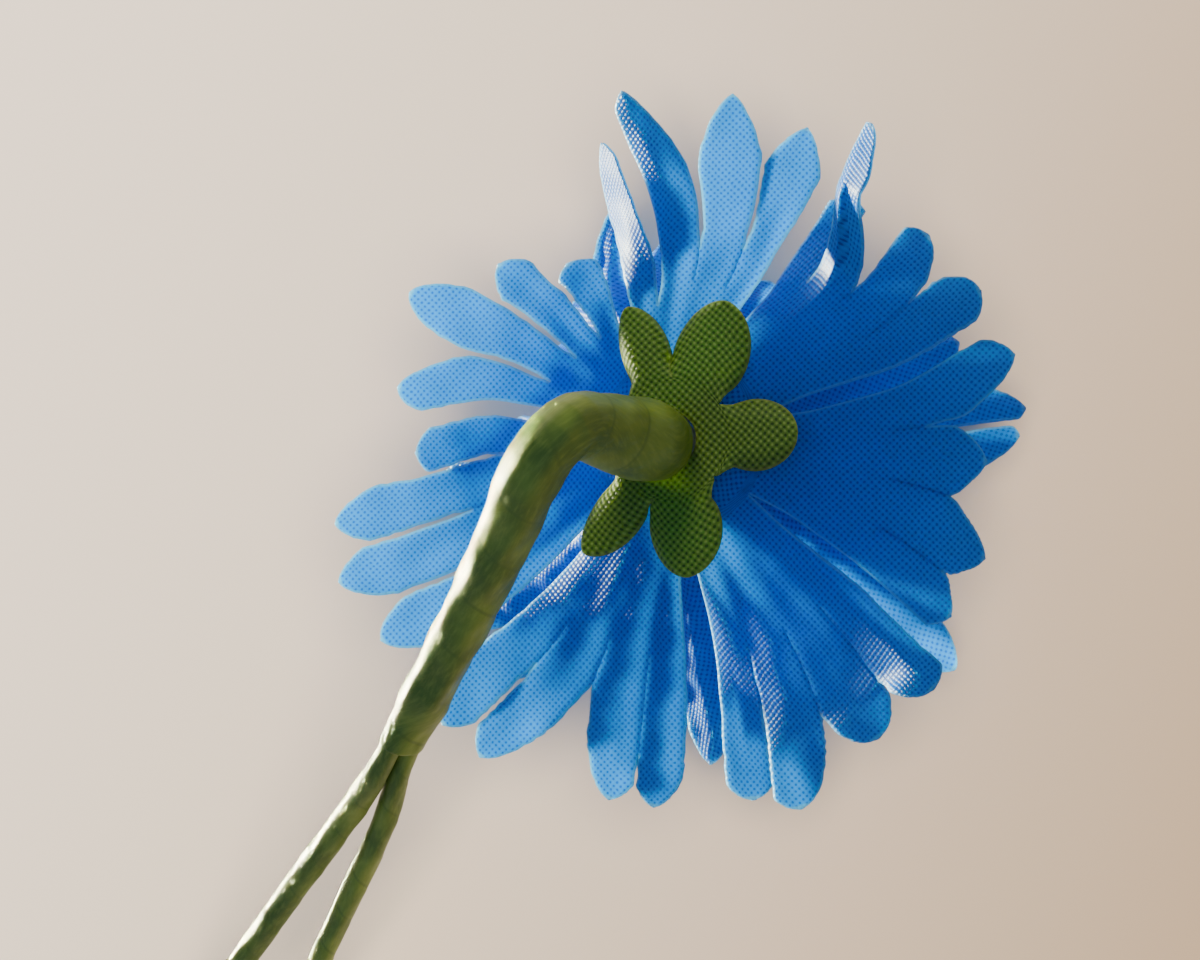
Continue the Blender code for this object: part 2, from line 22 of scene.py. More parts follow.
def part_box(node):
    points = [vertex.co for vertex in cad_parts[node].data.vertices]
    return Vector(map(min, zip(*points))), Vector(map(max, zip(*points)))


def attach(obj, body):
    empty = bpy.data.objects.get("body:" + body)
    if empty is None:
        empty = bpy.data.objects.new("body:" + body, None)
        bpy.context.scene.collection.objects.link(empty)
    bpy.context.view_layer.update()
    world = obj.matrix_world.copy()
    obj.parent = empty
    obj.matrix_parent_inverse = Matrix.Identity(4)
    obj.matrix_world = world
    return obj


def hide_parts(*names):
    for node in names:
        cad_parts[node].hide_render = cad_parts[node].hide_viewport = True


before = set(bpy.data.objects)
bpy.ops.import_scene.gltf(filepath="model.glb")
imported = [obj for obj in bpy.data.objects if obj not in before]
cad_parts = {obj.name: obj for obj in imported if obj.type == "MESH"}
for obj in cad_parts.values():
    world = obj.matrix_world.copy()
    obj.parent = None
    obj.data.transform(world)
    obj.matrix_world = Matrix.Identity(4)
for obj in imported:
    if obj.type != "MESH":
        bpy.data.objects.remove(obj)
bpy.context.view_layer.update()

MM = 0.001
BODY = "root"

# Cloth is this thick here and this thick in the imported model. Points nearer than the weld become one, and
# no point of a sheet's middle lies lower than the last of these.
CLOTH = 0.18
CAD_CLOTH = 0.6
WELD = 0.001
LOWEST = (-math.inf, -math.inf, CLOTH)

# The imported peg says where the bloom's axis stands on the floor, and how high the calyx lies.
PEG_LOW, PEG_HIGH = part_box("hub")
AXIS = Vector(((PEG_LOW.x + PEG_HIGH.x) / 2, (PEG_LOW.y + PEG_HIGH.y) / 2, 0)) / MM
PEG_TOP = PEG_HIGH.z / MM

log = logging.getLogger("boutonniere")


class Slot(Enum):
    """The material slots."""

    PETAL = "blue_satin"
    CALYX = "green_satin"
    STAMEN = "stamen_thread"
    PEG = "peg_nylon"
    TAPE = "floral_tape"
    WIRE = "floral_wire"


def linear(code: str) -> tuple:
    """Turns an sRGB hex colour into the linear one that shaders take.

    Args:
        code: Six hex digits after a hash.

    Returns:
        Red, green, blue and an alpha of 1.
    """
    shares = [int(code[place : place + 2], 16) / 255 for place in (1, 3, 5)]
    return (*(s / 12.92 if s <= 0.04045 else ((s + 0.055) / 1.055) ** 2.4 for s in shares), 1.0)


def add_node(tree: NodeTree, kind: str, inputs: dict = None, **settings) -> Node:
    """Adds a node to a tree with its settings, and sets or links its inputs.

    Args:
        tree: The shader or geometry tree.
        kind: The node's type.
        inputs: For each input's name or number, a plain value, an output, or a node whose first output
            is meant.
        settings: The node's own properties.

    Returns:
        The node.
    """
    node = tree.nodes.new(kind)
    for name, value in settings.items():
        setattr(node, name, value)
    for key, value in (inputs or {}).items():
        if isinstance(value, Node):
            value = value.outputs[0]
        if isinstance(value, NodeSocket):
            tree.links.new(value, node.inputs[key])
        else:
            node.inputs[key].default_value = value
    return node


def maths(tree: NodeTree, operation: str, *values: float, **settings) -> Node:
    """Adds a maths node that works on these values."""
    return add_node(tree, "ShaderNodeMath", dict(enumerate(values)), operation=operation, **settings)


def vectors(tree: NodeTree, operation: str, *values: tuple) -> Node:
    """Adds a vector maths node that works on these values."""
    return add_node(tree, "ShaderNodeVectorMath", dict(enumerate(values)), operation=operation)


def scaled(tree: NodeTree, vector: NodeSocket, by: float) -> Node:
    """Adds a node that makes a vector this many times as long."""
    return add_node(tree, "ShaderNodeVectorMath", {0: vector, "Scale": by}, operation="SCALE")


def ramp(tree: NodeTree, value: NodeSocket, start: float, end: float, low: float = 0.0, high: float = 1.0,
         smooth: bool = False) -> Node:
    """Adds a node that turns the range from start to end into the one from low to high."""
    return add_node(tree, "ShaderNodeMapRange", {0: value, 1: start, 2: end, 3: low, 4: high},
                    interpolation_type="SMOOTHSTEP" if smooth else "LINEAR")


def noise(tree: NodeTree, vector: NodeSocket, scale: float, detail: float) -> Node:
    """Adds a noise texture."""
    return add_node(tree, "ShaderNodeTexNoise", {"Vector": vector, "Scale": scale, "Detail": detail})


def dents(tree: NodeTree, height: NodeSocket, strength: float, depth: float) -> Node:
    """Adds a bump that is this deep, in millimetres."""
    return add_node(tree, "ShaderNodeBump", {"Height": height, "Strength": strength, "Distance": depth * MM})


def blend(tree: NodeTree, share: NodeSocket, first: str, second: str, **settings) -> NodeSocket:
    """Adds a colour mix.

    Args:
        tree: The tree.
        share: The second colour's share.
        first: The first colour: a hex code, a node or an output.
        second: The second colour, likewise.
        settings: The node's own properties.

    Returns:
        The mixed colour.
    """
    first, second = (linear(side) if isinstance(side, str) else side for side in (first, second))
    inputs = {0: share, 6: first, 7: second}
    return add_node(tree, "ShaderNodeMix", inputs, data_type="RGBA", **settings).outputs[2]


def object_place(tree: NodeTree) -> NodeSocket:
    """The place on the piece, in metres, from its Object coordinates."""
    return add_node(tree, "ShaderNodeTexCoord").outputs["Object"]


def attribute(tree: NodeTree, name: str) -> NodeSocket:
    """The value that the mesh holds in the attribute of this name."""
    return add_node(tree, "ShaderNodeAttribute", attribute_name=name).outputs["Fac"]


def new_material(name: str) -> tuple:
    """Starts a material.

    Args:
        name: What it is and how its surface was made.

    Returns:
        The material and its empty tree.
    """
    made = bpy.data.materials.new(name)
    made.use_nodes = True
    made.node_tree.nodes.clear()
    return made, made.node_tree


def add_surface(tree: NodeTree, inputs: dict) -> None:
    """Ends a material's tree with a Principled shader that has these inputs."""
    face = add_node(tree, "ShaderNodeBsdfPrincipled", inputs)
    add_node(tree, "ShaderNodeOutputMaterial", {"Surface": face})


def new_mesh(name: str, points: list | np.ndarray, edges: list, faces: list) -> Mesh:
    """Makes a mesh round the bloom's axis and moves it to where the bloom stands.

    Args:
        name: Its name.
        points: Its points, in millimetres.
        edges: The points of each edge that no face has.
        faces: The points of each face.

    Returns:
        The mesh, in metres.
    """
    mesh = bpy.data.meshes.new(name)
    placed = (np.array(points) + np.array(AXIS)) * MM
    mesh.from_pydata([tuple(point) for point in placed], edges, faces)
    return mesh


def add_object(name: str, data: Mesh) -> Object:
    """Makes an object and puts it in the scene.

    Args:
        name: Its name.
        data: Its mesh, light or camera.

    Returns:
        The object.
    """
    made = bpy.data.objects.new(name, data)
    bpy.context.scene.collection.objects.link(made)
    return made


def mend(mesh: Mesh, weld: float = 0.0, fill: bool = False) -> None:
    """Turns a mesh's faces outwards, after its doubled points are welded or its holes filled.

    Args:
        mesh: The mesh.
        weld: How near two points have to be to become one, in millimetres, or 0.
        fill: Whether its holes are filled.
    """
    bm = bmesh.new()
    bm.from_mesh(mesh)
    if weld:
        bmesh.ops.remove_doubles(bm, verts=bm.verts, dist=weld * MM)
    if fill:
        bmesh.ops.holes_fill(bm, edges=bm.edges)
    bmesh.ops.recalc_face_normals(bm, faces=bm.faces)
    bm.to_mesh(mesh)
    bm.free()


def thicken(piece: Object, wall: float, side: int) -> None:
    """Gives an open skin its thickness, which also closes its cut edges.

    Args:
        piece: The skin.
        wall: The thickness, in millimetres.
        side: -1 to put it on the inner side, 0 on both.
    """
    modifier = piece.modifiers.new("wall", "SOLIDIFY")
    modifier.thickness = wall * MM
    modifier.offset = side


def ease(value: np.ndarray, start: float, end: float) -> np.ndarray:
    """A smooth step from 0 at start to 1 at end."""
    share = np.clip((np.asarray(value, float) - start) / (end - start), 0, 1)
    return share * share * (3 - 2 * share)


def mix(first: np.ndarray, second: np.ndarray, share: np.ndarray) -> np.ndarray:
    """The value that lies this share of the way from the first to the second."""
    return first + (second - first) * share


def polar(reach: np.ndarray, turn: np.ndarray) -> np.ndarray:
    """The flat places at these distances from the middle and these angles, in radians."""
    return np.stack([reach * np.cos(turn), reach * np.sin(turn)], axis=-1)


def unit(vector: np.ndarray) -> np.ndarray:
    """The same direction at length 1, for one vector or for each row of them."""
    return vector / np.linalg.norm(vector, axis=-1, keepdims=True)


def seat(piece: Object, slot: Slot, *nodes: str) -> Object:
    """Fixes a finished piece to the part and reports it.

    Args:
        piece: The finished piece, at the origin.
        slot: The material slot whose finish it wears.
        nodes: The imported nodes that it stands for.

    Returns:
        The same piece.
    """
    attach(piece, BODY)
    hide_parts(*nodes)
    log.info("%s: %d faces, slot %s, stands for %s", piece.name, len(piece.data.polygons), slot.value, nodes)
    return piece


# Finishes


@dataclass(frozen=True)
class Satin:
    """Woven polyester satin, heat-pressed and stiffened. The eye sees a field of long pale threads, with a
    painted highlight on their crests and a dot of painted shade wherever one dips under, the dots in a
    diamond lattice. Light from behind comes through, and heat has sealed the cut edges to a pale line,
    partly the sealed edge itself and partly painted rim light, strongest against the light.

    Colours: over is the threads' own, dip_shade the painted shade of the dots, ridge the painted highlight
    of the crests, through that of light from behind, fused_and_lit_edge the sealed cut edges' with their
    painted rim light, and gloss the shine's. thread is half the lattice's repeat, in millimetres, and grain
    its turn in the cloth. waver is how broad and how strong the threads' waver is, in threads; dips and
    crests are the ranges of the woven waves that count as such; cloud is how many patches there are to a
    metre and their darkest and palest share. fused_and_lit_span is where the pale edge line starts and is
    full, in millimetres from the cut, and fused_and_lit_shares how strong it is against the light and on
    the lit face. glow is the share of light from behind, and blocked what a dipped thread keeps back.
    """

    name: str
    over: str
    # dip_shade is painted shade in the weave's dips, and ridge a painted highlight on its crests.
    dip_shade: str
    ridge: str
    through: str
    fused_and_lit_edge: str
    thread: float
    grain: float
    glow: float
    sheen: float
    dot: float = 0.55
    relief: float = 0.05
    roughness: float = 0.42
    blocked: float = 0.75
    gloss: str = "#c8e2fa"
    waver: tuple = (0.16, 1.3)
    dips: tuple = (-0.15, -0.75)
    crests: tuple = (0.1, 0.9)
    cloud: tuple = (160.0, 0.85, 1.1)
    fused_and_lit_span: tuple = (0.24, 0.09)
    fused_and_lit_shares: tuple = (0.8, 0.4)

    def lattice(self, tree: NodeTree) -> tuple:
        """Adds the weave, which follows the cloth's own flat cut, held in the map named cut.

        Args:
            tree: The material's tree.

        Returns:
            Where threads dip under, and where they crest, each from 0 to 1.
        """
        grain = add_node(tree, "ShaderNodeMapping", {
            "Vector": add_node(tree, "ShaderNodeUVMap", uv_map="cut"),
            "Rotation": (0, 0, math.radians(self.grain)),
            "Scale": (1 / self.thread,) * 3,
        })
        breadth, pull = self.waver
        drawn = noise(tree, grain, breadth, 2.0).outputs["Color"]
        pulled = vectors(tree, "SUBTRACT", drawn, (0.5, 0.5, 0.5))
        shifted = vectors(tree, "MULTIPLY_ADD", pulled, (pull, pull, 0), grain)
        waves = vectors(tree, "SINE", vectors(tree, "MULTIPLY", shifted, (math.pi,) * 3))
        split = add_node(tree, "ShaderNodeSeparateXYZ", {0: waves})
        crossing = maths(tree, "MULTIPLY", split.outputs[0], split.outputs[1])
        return tuple(ramp(tree, crossing, *ends, smooth=True) for ends in (self.dips, self.crests))

    def make(self) -> Material:
        """Builds the material. The attribute named rim is each point's distance from the cut edge.

        Returns:
            The material.
        """
        made, tree = new_material(self.name)
        dips, crests = self.lattice(tree)
        # The threads' crests get a painted highlight, and the dots where they dip under get a painted shade.
        field_colour = blend(tree, crests, self.over, self.ridge)
        woven = blend(tree, maths(tree, "MULTIPLY", dips, self.dot), field_colour, self.dip_shade)
        patches, darkest, palest = self.cloud
        shade = ramp(tree, noise(tree, object_place(tree), patches, 3.0), 0.3, 0.7, darkest, palest)
        colour = blend(tree, 1.0, woven, shade, blend_type="MULTIPLY")
        # The cut edges are pale: partly a heat-sealed edge, partly a painted rim of the light from behind,
        # strongest against the light.
        against, lit = self.fused_and_lit_shares
        fused_and_lit_rim = ramp(tree, attribute(tree, "rim"), *self.fused_and_lit_span, 0.0, against, smooth=True)
        bump = dents(tree, maths(tree, "SUBTRACT", crests, dips), 0.5, self.relief)
        face = add_node(tree, "ShaderNodeBsdfPrincipled", {
            "Base Color": blend(tree, maths(tree, "MULTIPLY", fused_and_lit_rim, lit), colour, self.fused_and_lit_edge),
            "Roughness": self.roughness,
            "Specular IOR Level": 0.3,
            "Specular Tint": linear(self.gloss),
            "Sheen Weight": self.sheen,
            "Sheen Roughness": 0.35,
            "Sheen Tint": linear(self.fused_and_lit_edge),
            "Normal": bump,
        })
        dimmed = blend(tree, maths(tree, "MULTIPLY", dips, self.blocked), self.through, self.over)
        # The same pale edge in the light that comes through, with its painted rim light.
        lined = blend(tree, fused_and_lit_rim, dimmed, self.fused_and_lit_edge)
        behind = add_node(tree, "ShaderNodeBsdfTranslucent", {"Color": lined, "Normal": bump})
        both = add_node(tree, "ShaderNodeMixShader", {0: self.glow, 1: face, 2: behind})
        add_node(tree, "ShaderNodeOutputMaterial", {"Surface": both})
        return made


@dataclass(frozen=True)
class CrepeTape:
    """Floral tape: waxed crepe paper, stretched and wound in a spiral. It has fine creases along the
    stem, a soft waxy gloss, and a painted shadow line where each turn laps over the last one. crease is the
    distance between creases, in millimetres, slant their turn from the stem's own direction, stretch
    how much longer than wide they are, as a share, and patches how many paler patches there are to a
    metre."""

    name: str = "floral tape, waxed crepe paper"
    base: str = "#788c28"
    deep: str = "#526a1a"
    pale: str = "#98a840"
    crease: float = 0.35
    slant: float = 14.0
    stretch: float = 0.28
    patches: float = 210.0

    def make(self) -> Material:
        """Builds the material. It follows the map named wrap, in millimetres along and round the stem,
        and the attribute named lap, which is 1 at the edge of each turn, where the painted shadow line goes.

        Returns:
            The material.
        """
        made, tree = new_material(self.name)
        long_way = add_node(tree, "ShaderNodeMapping", {
            "Vector": add_node(tree, "ShaderNodeUVMap", uv_map="wrap"),
            "Rotation": (0, 0, math.radians(self.slant)),
            "Scale": (self.stretch / self.crease, 1 / self.crease, 1),
        })
        creases = noise(tree, long_way, 1.0, 4.0)
        creases.inputs["Roughness"].default_value = 0.6
        patch = ramp(tree, noise(tree, object_place(tree), self.patches, 2.0), 0.35, 0.68, smooth=True)
        ground = blend(tree, patch, self.deep, self.base)
        creased = blend(tree, ramp(tree, creases, 0.45, 0.75, 0.0, 0.4), ground, self.pale)
        # A painted shadow line along the edge of each lap.
        lap_shadow = ramp(tree, attribute(tree, "lap"), 0.2, 1.0, 0.0, 0.7)
        add_surface(tree, {
            "Base Color": blend(tree, lap_shadow, creased, self.deep),
            "Roughness": 0.5,
            "Specular IOR Level": 0.3,
            "Coat Weight": 0.1,
            "Coat Roughness": 0.4,
            "Normal": dents(tree, creases, 0.12, 0.1),
        })
        return made


@dataclass(frozen=True)
class DippedThread:
    """Stiffened cotton thread whose head was dipped in lacquer: fuzzy along the thread, glossy and
    a little paler at the head. fuzz is how many fibres there are to a metre, and dipped where along the
    thread the lacquer starts and is full."""

    name: str = "stamen thread, dipped cotton"
    shade: str = "#1d0f52"
    thread: str = "#3a1f86"
    head: str = "#7a4fd0"
    fuzz: float = 2600.0
    dipped: tuple = (0.8, 0.9)

    def make(self) -> Material:
        """Builds the material. The attribute named along runs from 0 at the root to 1 at the head.

        Returns:
            The material.
        """
        made, tree = new_material(self.name)
        dipped = ramp(tree, attribute(tree, "along"), *self.dipped)
        fuzz = noise(tree, object_place(tree), self.fuzz, 3.0)
        add_surface(tree, {
            "Base Color": blend(tree, dipped, blend(tree, fuzz, self.shade, self.thread), self.head),
            "Roughness": ramp(tree, dipped, 0.0, 1.0, 0.75, 0.25),
            "Sheen Weight": 0.3,
            "Normal": dents(tree, fuzz, 0.4, 0.05),
        })
        return made


@dataclass(frozen=True)
class Worked:
    """A plain stock material with the marks of how it was made: a colour that varies a little, and
    marks drawn out along one direction, as moulding flow or drawing lines are. marks is how many there
    are to a metre along each axis, and depth how deep they are, in millimetres."""

    name: str
    base: str
    shade: str
    roughness: float
    metallic: float
    marks: tuple
    depth: float

    def make(self) -> Material:
        """Builds the material.

        Returns:
            The material.
        """
        made, tree = new_material(self.name)
        drawn = add_node(tree, "ShaderNodeMapping", {"Vector": object_place(tree), "Scale": self.marks})
        marks = noise(tree, drawn, 1.0, 4.0)
        add_surface(tree, {
            "Base Color": blend(tree, marks, self.shade, self.base),
            "Roughness": ramp(tree, marks, 0.0, 1.0, self.roughness * 0.8, self.roughness * 1.25),
            "Metallic": self.metallic,
            "Normal": dents(tree, marks, 0.3, self.depth),
        })
        return made


PETAL_SATIN = Satin(
    name="petal satin, woven polyester",
    over="#0066cc",
    # Painted shade in the dips, and a painted highlight on the crests.
    dip_shade="#002c7c",
    ridge="#008ce4",
    through="#24c0fd",
    # A pale sealed edge with painted rim light.
    fused_and_lit_edge="#a4def8",
    thread=0.257,
    grain=2.0,
    glow=0.6,
    sheen=0.04,
)
CALYX_SATIN = Satin(
    name="calyx satin, woven polyester",
    over="#648028",
    # Painted shade in the dips, and a painted highlight on the crests.
    dip_shade="#2c420e",
    ridge="#a2b654",
    through="#c0e048",
    # A pale sealed edge with painted rim light.
    fused_and_lit_edge="#c0d060",
    thread=0.29,
    grain=50.0,
    glow=0.42,
    sheen=0.03,
    dot=0.72,
    relief=0.09,
    roughness=0.5,
)
PEG_NYLON = Worked(
    name="peg nylon, injection moulded",
    base="#c3c8bb",
    shade="#a5ab9b",
    roughness=0.42,
    metallic=0.0,
    marks=(300, 300, 900),
    depth=0.02,
)
STEM_WIRE = Worked(
    name="stem wire, annealed steel, drawn",
    base="#9a9d9b",
    shade="#6f7371",
    roughness=0.38,
    metallic=1.0,
    marks=(120, 4000, 4000),
    depth=0.01,
)


# Cloth


@dataclass(frozen=True)
class Floret:
    """One floret of four lobes, listed from its highest azimuth down: how far each lobe's tip swings
    round the bloom, how far from the axis it reaches along the cloth, how it tips towards the back of
    the bloom, and how it turns edge on. notches is where the three slits between its lobes start, and
    side_gaps is how much cloth is missing beside the slits that part it from its two neighbours. A lobe
    is widest at this share of its length, and the lower its bluntness, the rounder its end. twist turns
    the whole floret edge on, which raises its high side, rises lifts a lobe off the others, and shift
    swings the whole floret round the bloom."""

    turns: tuple
    reaches: tuple
    leans: tuple = (0, 0, 0, 0)
    rolls: tuple = (0, 0, 0, 0)
    notches: tuple = (15.0, 15.0, 15.0)
    half_width: float = 2.15
    side_gaps: tuple = (0.4, 0.4)
    widest: float = 0.56
    bluntness: float = 0.62
    twist: float = 0.0
    rises: tuple = (0, 0, 0, 0)
    shift: float = 0.0


LOBES = 4

# The cloth turns down over this length, and a disc's first row past its hole is at this share of its flat
# part. Two lobes of a floret lie this far apart, and a lobe's root is this share of its full width.
BEND_LENGTH = 2.5
FLAT_SHARE = 0.8
LOBE_GAP = 0.36
ROOT_WIDTH = 0.72

# Ripples are small and billows broad: the slowest and fastest pace, in radians to a millimetre, and how
# many are summed. Each pleat's depth is a share of its layer's, between these two.
RIPPLES = (0.8, 2.4, 16)
BILLOWS = (0.15, 0.4, 6)
PLEAT_SHARES = (0.3, 1.25)

# How far along the cloth each of these takes: a slit between florets to open, one between lobes to
# open, a lobe to take on its own outline, and a floret's twist, shift and pleats to grow.
SLIT_OPENS = 4.5
NOTCH_OPENS = 1.5
OUTLINE_STARTS = 1.4
TWIST_GROWS = 8.0
PLEAT_GROWS = 6.0

# Where along the cloth the pleats fade, to what share, and where its broad waves grow.
PLEATS_FADE = (14.0, 27.0)
PLEATS_LEFT = 0.4
BILLOWS_GROW = (8.0, 19.0)

# A lobe has all of its roll at this share of its length. Past the next share its edge is cut a little
# unevenly: this much of its width, with this phase for each lobe and for each millimetre.
ROLL_FULL = 0.6
UNEVEN_FROM = 0.1
UNEVEN = 0.025
UNEVEN_LOBE = 37.0
UNEVEN_PACE = 29.0

# Rows crowd towards a lobe's tip by this power. Near the tip the cut edge is this share of the way there.
CROWDING = 1.15
TIP_RIM = 0.7


def drawn_florets(seed: int, floret_reaches: tuple, ranges: tuple, notch: float, half_width: float) -> tuple:
    """Florets whose lobes vary a little, for the layers that hide under the outer one.

    Args:
        seed: What the draws start from.
        floret_reaches: The middle reach of each floret's lobes.
        ranges: How far a reach, a turn, a lean and a roll vary either way.
        notch: Where the slits between the lobes start.
        half_width: The lobes' half width.

    Returns:
        The florets.
    """
    draw = random.Random(seed)

    def four(middle: float, spread: float) -> tuple:
        """Four draws round a middle value."""
        return tuple(middle + draw.uniform(-spread, spread) for _ in range(LOBES))

    reach_range, turn_range, lean_range, roll_range = ranges
    return tuple(
        Floret(four(0, turn_range), four(reach, reach_range), four(0, lean_range), four(0, roll_range),
               (notch,) * (LOBES - 1), half_width)
        for reach in floret_reaches
    )


@dataclass(frozen=True)
class Profile:
    """The line that the cloth follows out from the axis: radius and height against length along the
    cloth. Its lean is the angle from the axis on the face side, so 90 lies flat."""

    height: float
    bend_radius: float
    lean_start: float
    lean_end: float
    full_reach: float
    ramp: tuple
    steps: int = 160

    def lean(self, along: np.ndarray, extra: np.ndarray) -> np.ndarray:
        """Works out how the cloth leans.

        Args:
            along: Lengths along the cloth from the axis.
            extra: The extra lean of each point's lobe.

        Returns:
            The lean at each point, in radians.
        """
        bend_end = self.bend_radius + BEND_LENGTH
        turned = 90 + (self.lean_start - 90) * ease(along, self.bend_radius, bend_end)
        opened = (self.lean_end - self.lean_start) * np.clip(
            (along - bend_end) / (self.full_reach - bend_end), 0, None
        )
        return np.radians(turned + opened + extra * ease(along, *self.ramp))

    def place(self, along: np.ndarray, azimuth: np.ndarray, extra: np.ndarray,
              lift: np.ndarray) -> np.ndarray:
        """The points at lengths along the cloth and azimuths, lifted towards the bloom's back.

        Args:
            along: Length along the cloth from the axis.
            azimuth: Azimuth round the axis.
            extra: Extra lean of the lobe.
            lift: Distance off the cloth's plain surface.

        Returns:
            One row for each point.
        """
        given = map(np.atleast_1d, (along, azimuth, extra, lift))
        along, azimuth, extra, lift = np.broadcast_arrays(*given)
        shares = (np.arange(self.steps) + 0.5) / self.steps
        leans = self.lean(along[..., None] * shares, extra[..., None])
        end = self.lean(along, extra)
        radius = np.sin(leans).mean(axis=-1) * along + lift * np.cos(end)
        height = self.height - np.cos(leans).mean(axis=-1) * along + lift * np.sin(end)
        turn = np.radians(azimuth)
        return np.stack([radius * np.cos(turn), radius * np.sin(turn), height], axis=-1)

    def radius(self, along: np.ndarray, extra: np.ndarray = 0.0) -> np.ndarray:
        """The distance from the axis at each length along the cloth."""
        return self.place(along, 0.0, extra, 0.0)[..., 0]


class Cloth:
    """A sheet of cloth in the making: its points, its flat cut, how far each point is from a cut edge,
    and its faces."""

    def __init__(self) -> None:
        """Starts with no cloth."""
        self.points: list = []
        self.cuts: list = []
        self.rims: list = []
        self.faces: list = []

    def row(self, points: np.ndarray, cuts: np.ndarray, rims: np.ndarray) -> list:
        """Adds a row of points, each kept just above the floor.

        Args:
            points: Their places.
            cuts: Their places in the flat cut.
            rims: Their distances from the cut edge.

        Returns:
            The numbers of the new points.
        """
        start = len(self.points)
        self.points += list(np.maximum(points, LOWEST))
        self.cuts += list(cuts)
        self.rims += list(rims)
        return list(range(start, len(self.points)))

    def weave(self, low: list, high: list, closed: bool = False) -> None:
        """Adds the faces between two rows of the same number of points.

        Args:
            low: The first row's points.
            high: The second row's.
            closed: Whether the rows run right round.
        """
        steps = len(low) if closed else len(low) - 1
        for k in range(steps):
            after = (k + 1) % len(low)
            self.faces.append((low[k], low[after], high[after], high[k]))

    def rings(self, profile: Profile, alongs: list, azimuths: np.ndarray, hole_radius: float) -> list:
        """Adds closed rows right round the axis, as every layer's disc has.

        Args:
            profile: The line that the cloth follows.
            alongs: Each row's length along the cloth.
            azimuths: The azimuths of each row's points.
            hole_radius: Where the hole's cut edge is.

        Returns:
            The outermost row.
        """
        before = None
        for along in alongs:
            reach = np.full(len(azimuths), along)
            row = self.row(profile.place(reach, azimuths, 0.0, 0.0), polar(reach, np.radians(azimuths)),
                           reach - hole_radius)
            if before:
                self.weave(before, row, closed=True)
            before = row
        return before

    def close_tip(self, row: list, tip: np.ndarray, cut: np.ndarray) -> None:
        """Closes a strip with a fan of faces to its tip.

        Args:
            row: The strip's last row.
            tip: The tip's place, as one row.
            cut: The same in the flat cut.
        """
        last = self.row(tip, cut, np.zeros(1))[0]
        self.faces += [(low, high, last) for low, high in zip(row, row[1:])]

    def make(self, node: str, slot: Slot, finish: Material, under: list) -> Object:
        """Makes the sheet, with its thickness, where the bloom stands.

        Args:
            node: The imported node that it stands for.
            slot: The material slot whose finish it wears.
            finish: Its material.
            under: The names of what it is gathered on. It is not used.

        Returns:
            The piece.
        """
        mesh = new_mesh(f"{node}_cloth", self.points, [], self.faces)
        flat = mesh.uv_layers.new(name="cut")
        corners = np.array([loop.vertex_index for loop in mesh.loops])
        flat.uv.foreach_set("vector", np.array(self.cuts, np.float32)[corners].ravel())
        rim = mesh.attributes.new("rim", "FLOAT", "POINT")
        rim.data.foreach_set("value", np.array(self.rims, np.float32))
        mesh.materials.append(finish)
        mend(mesh, weld=WELD)
        mesh.shade_smooth()
        piece = add_object(mesh.name, mesh)
        thicken(piece, CLOTH, 0)
        seat(piece, slot, node)
        return piece


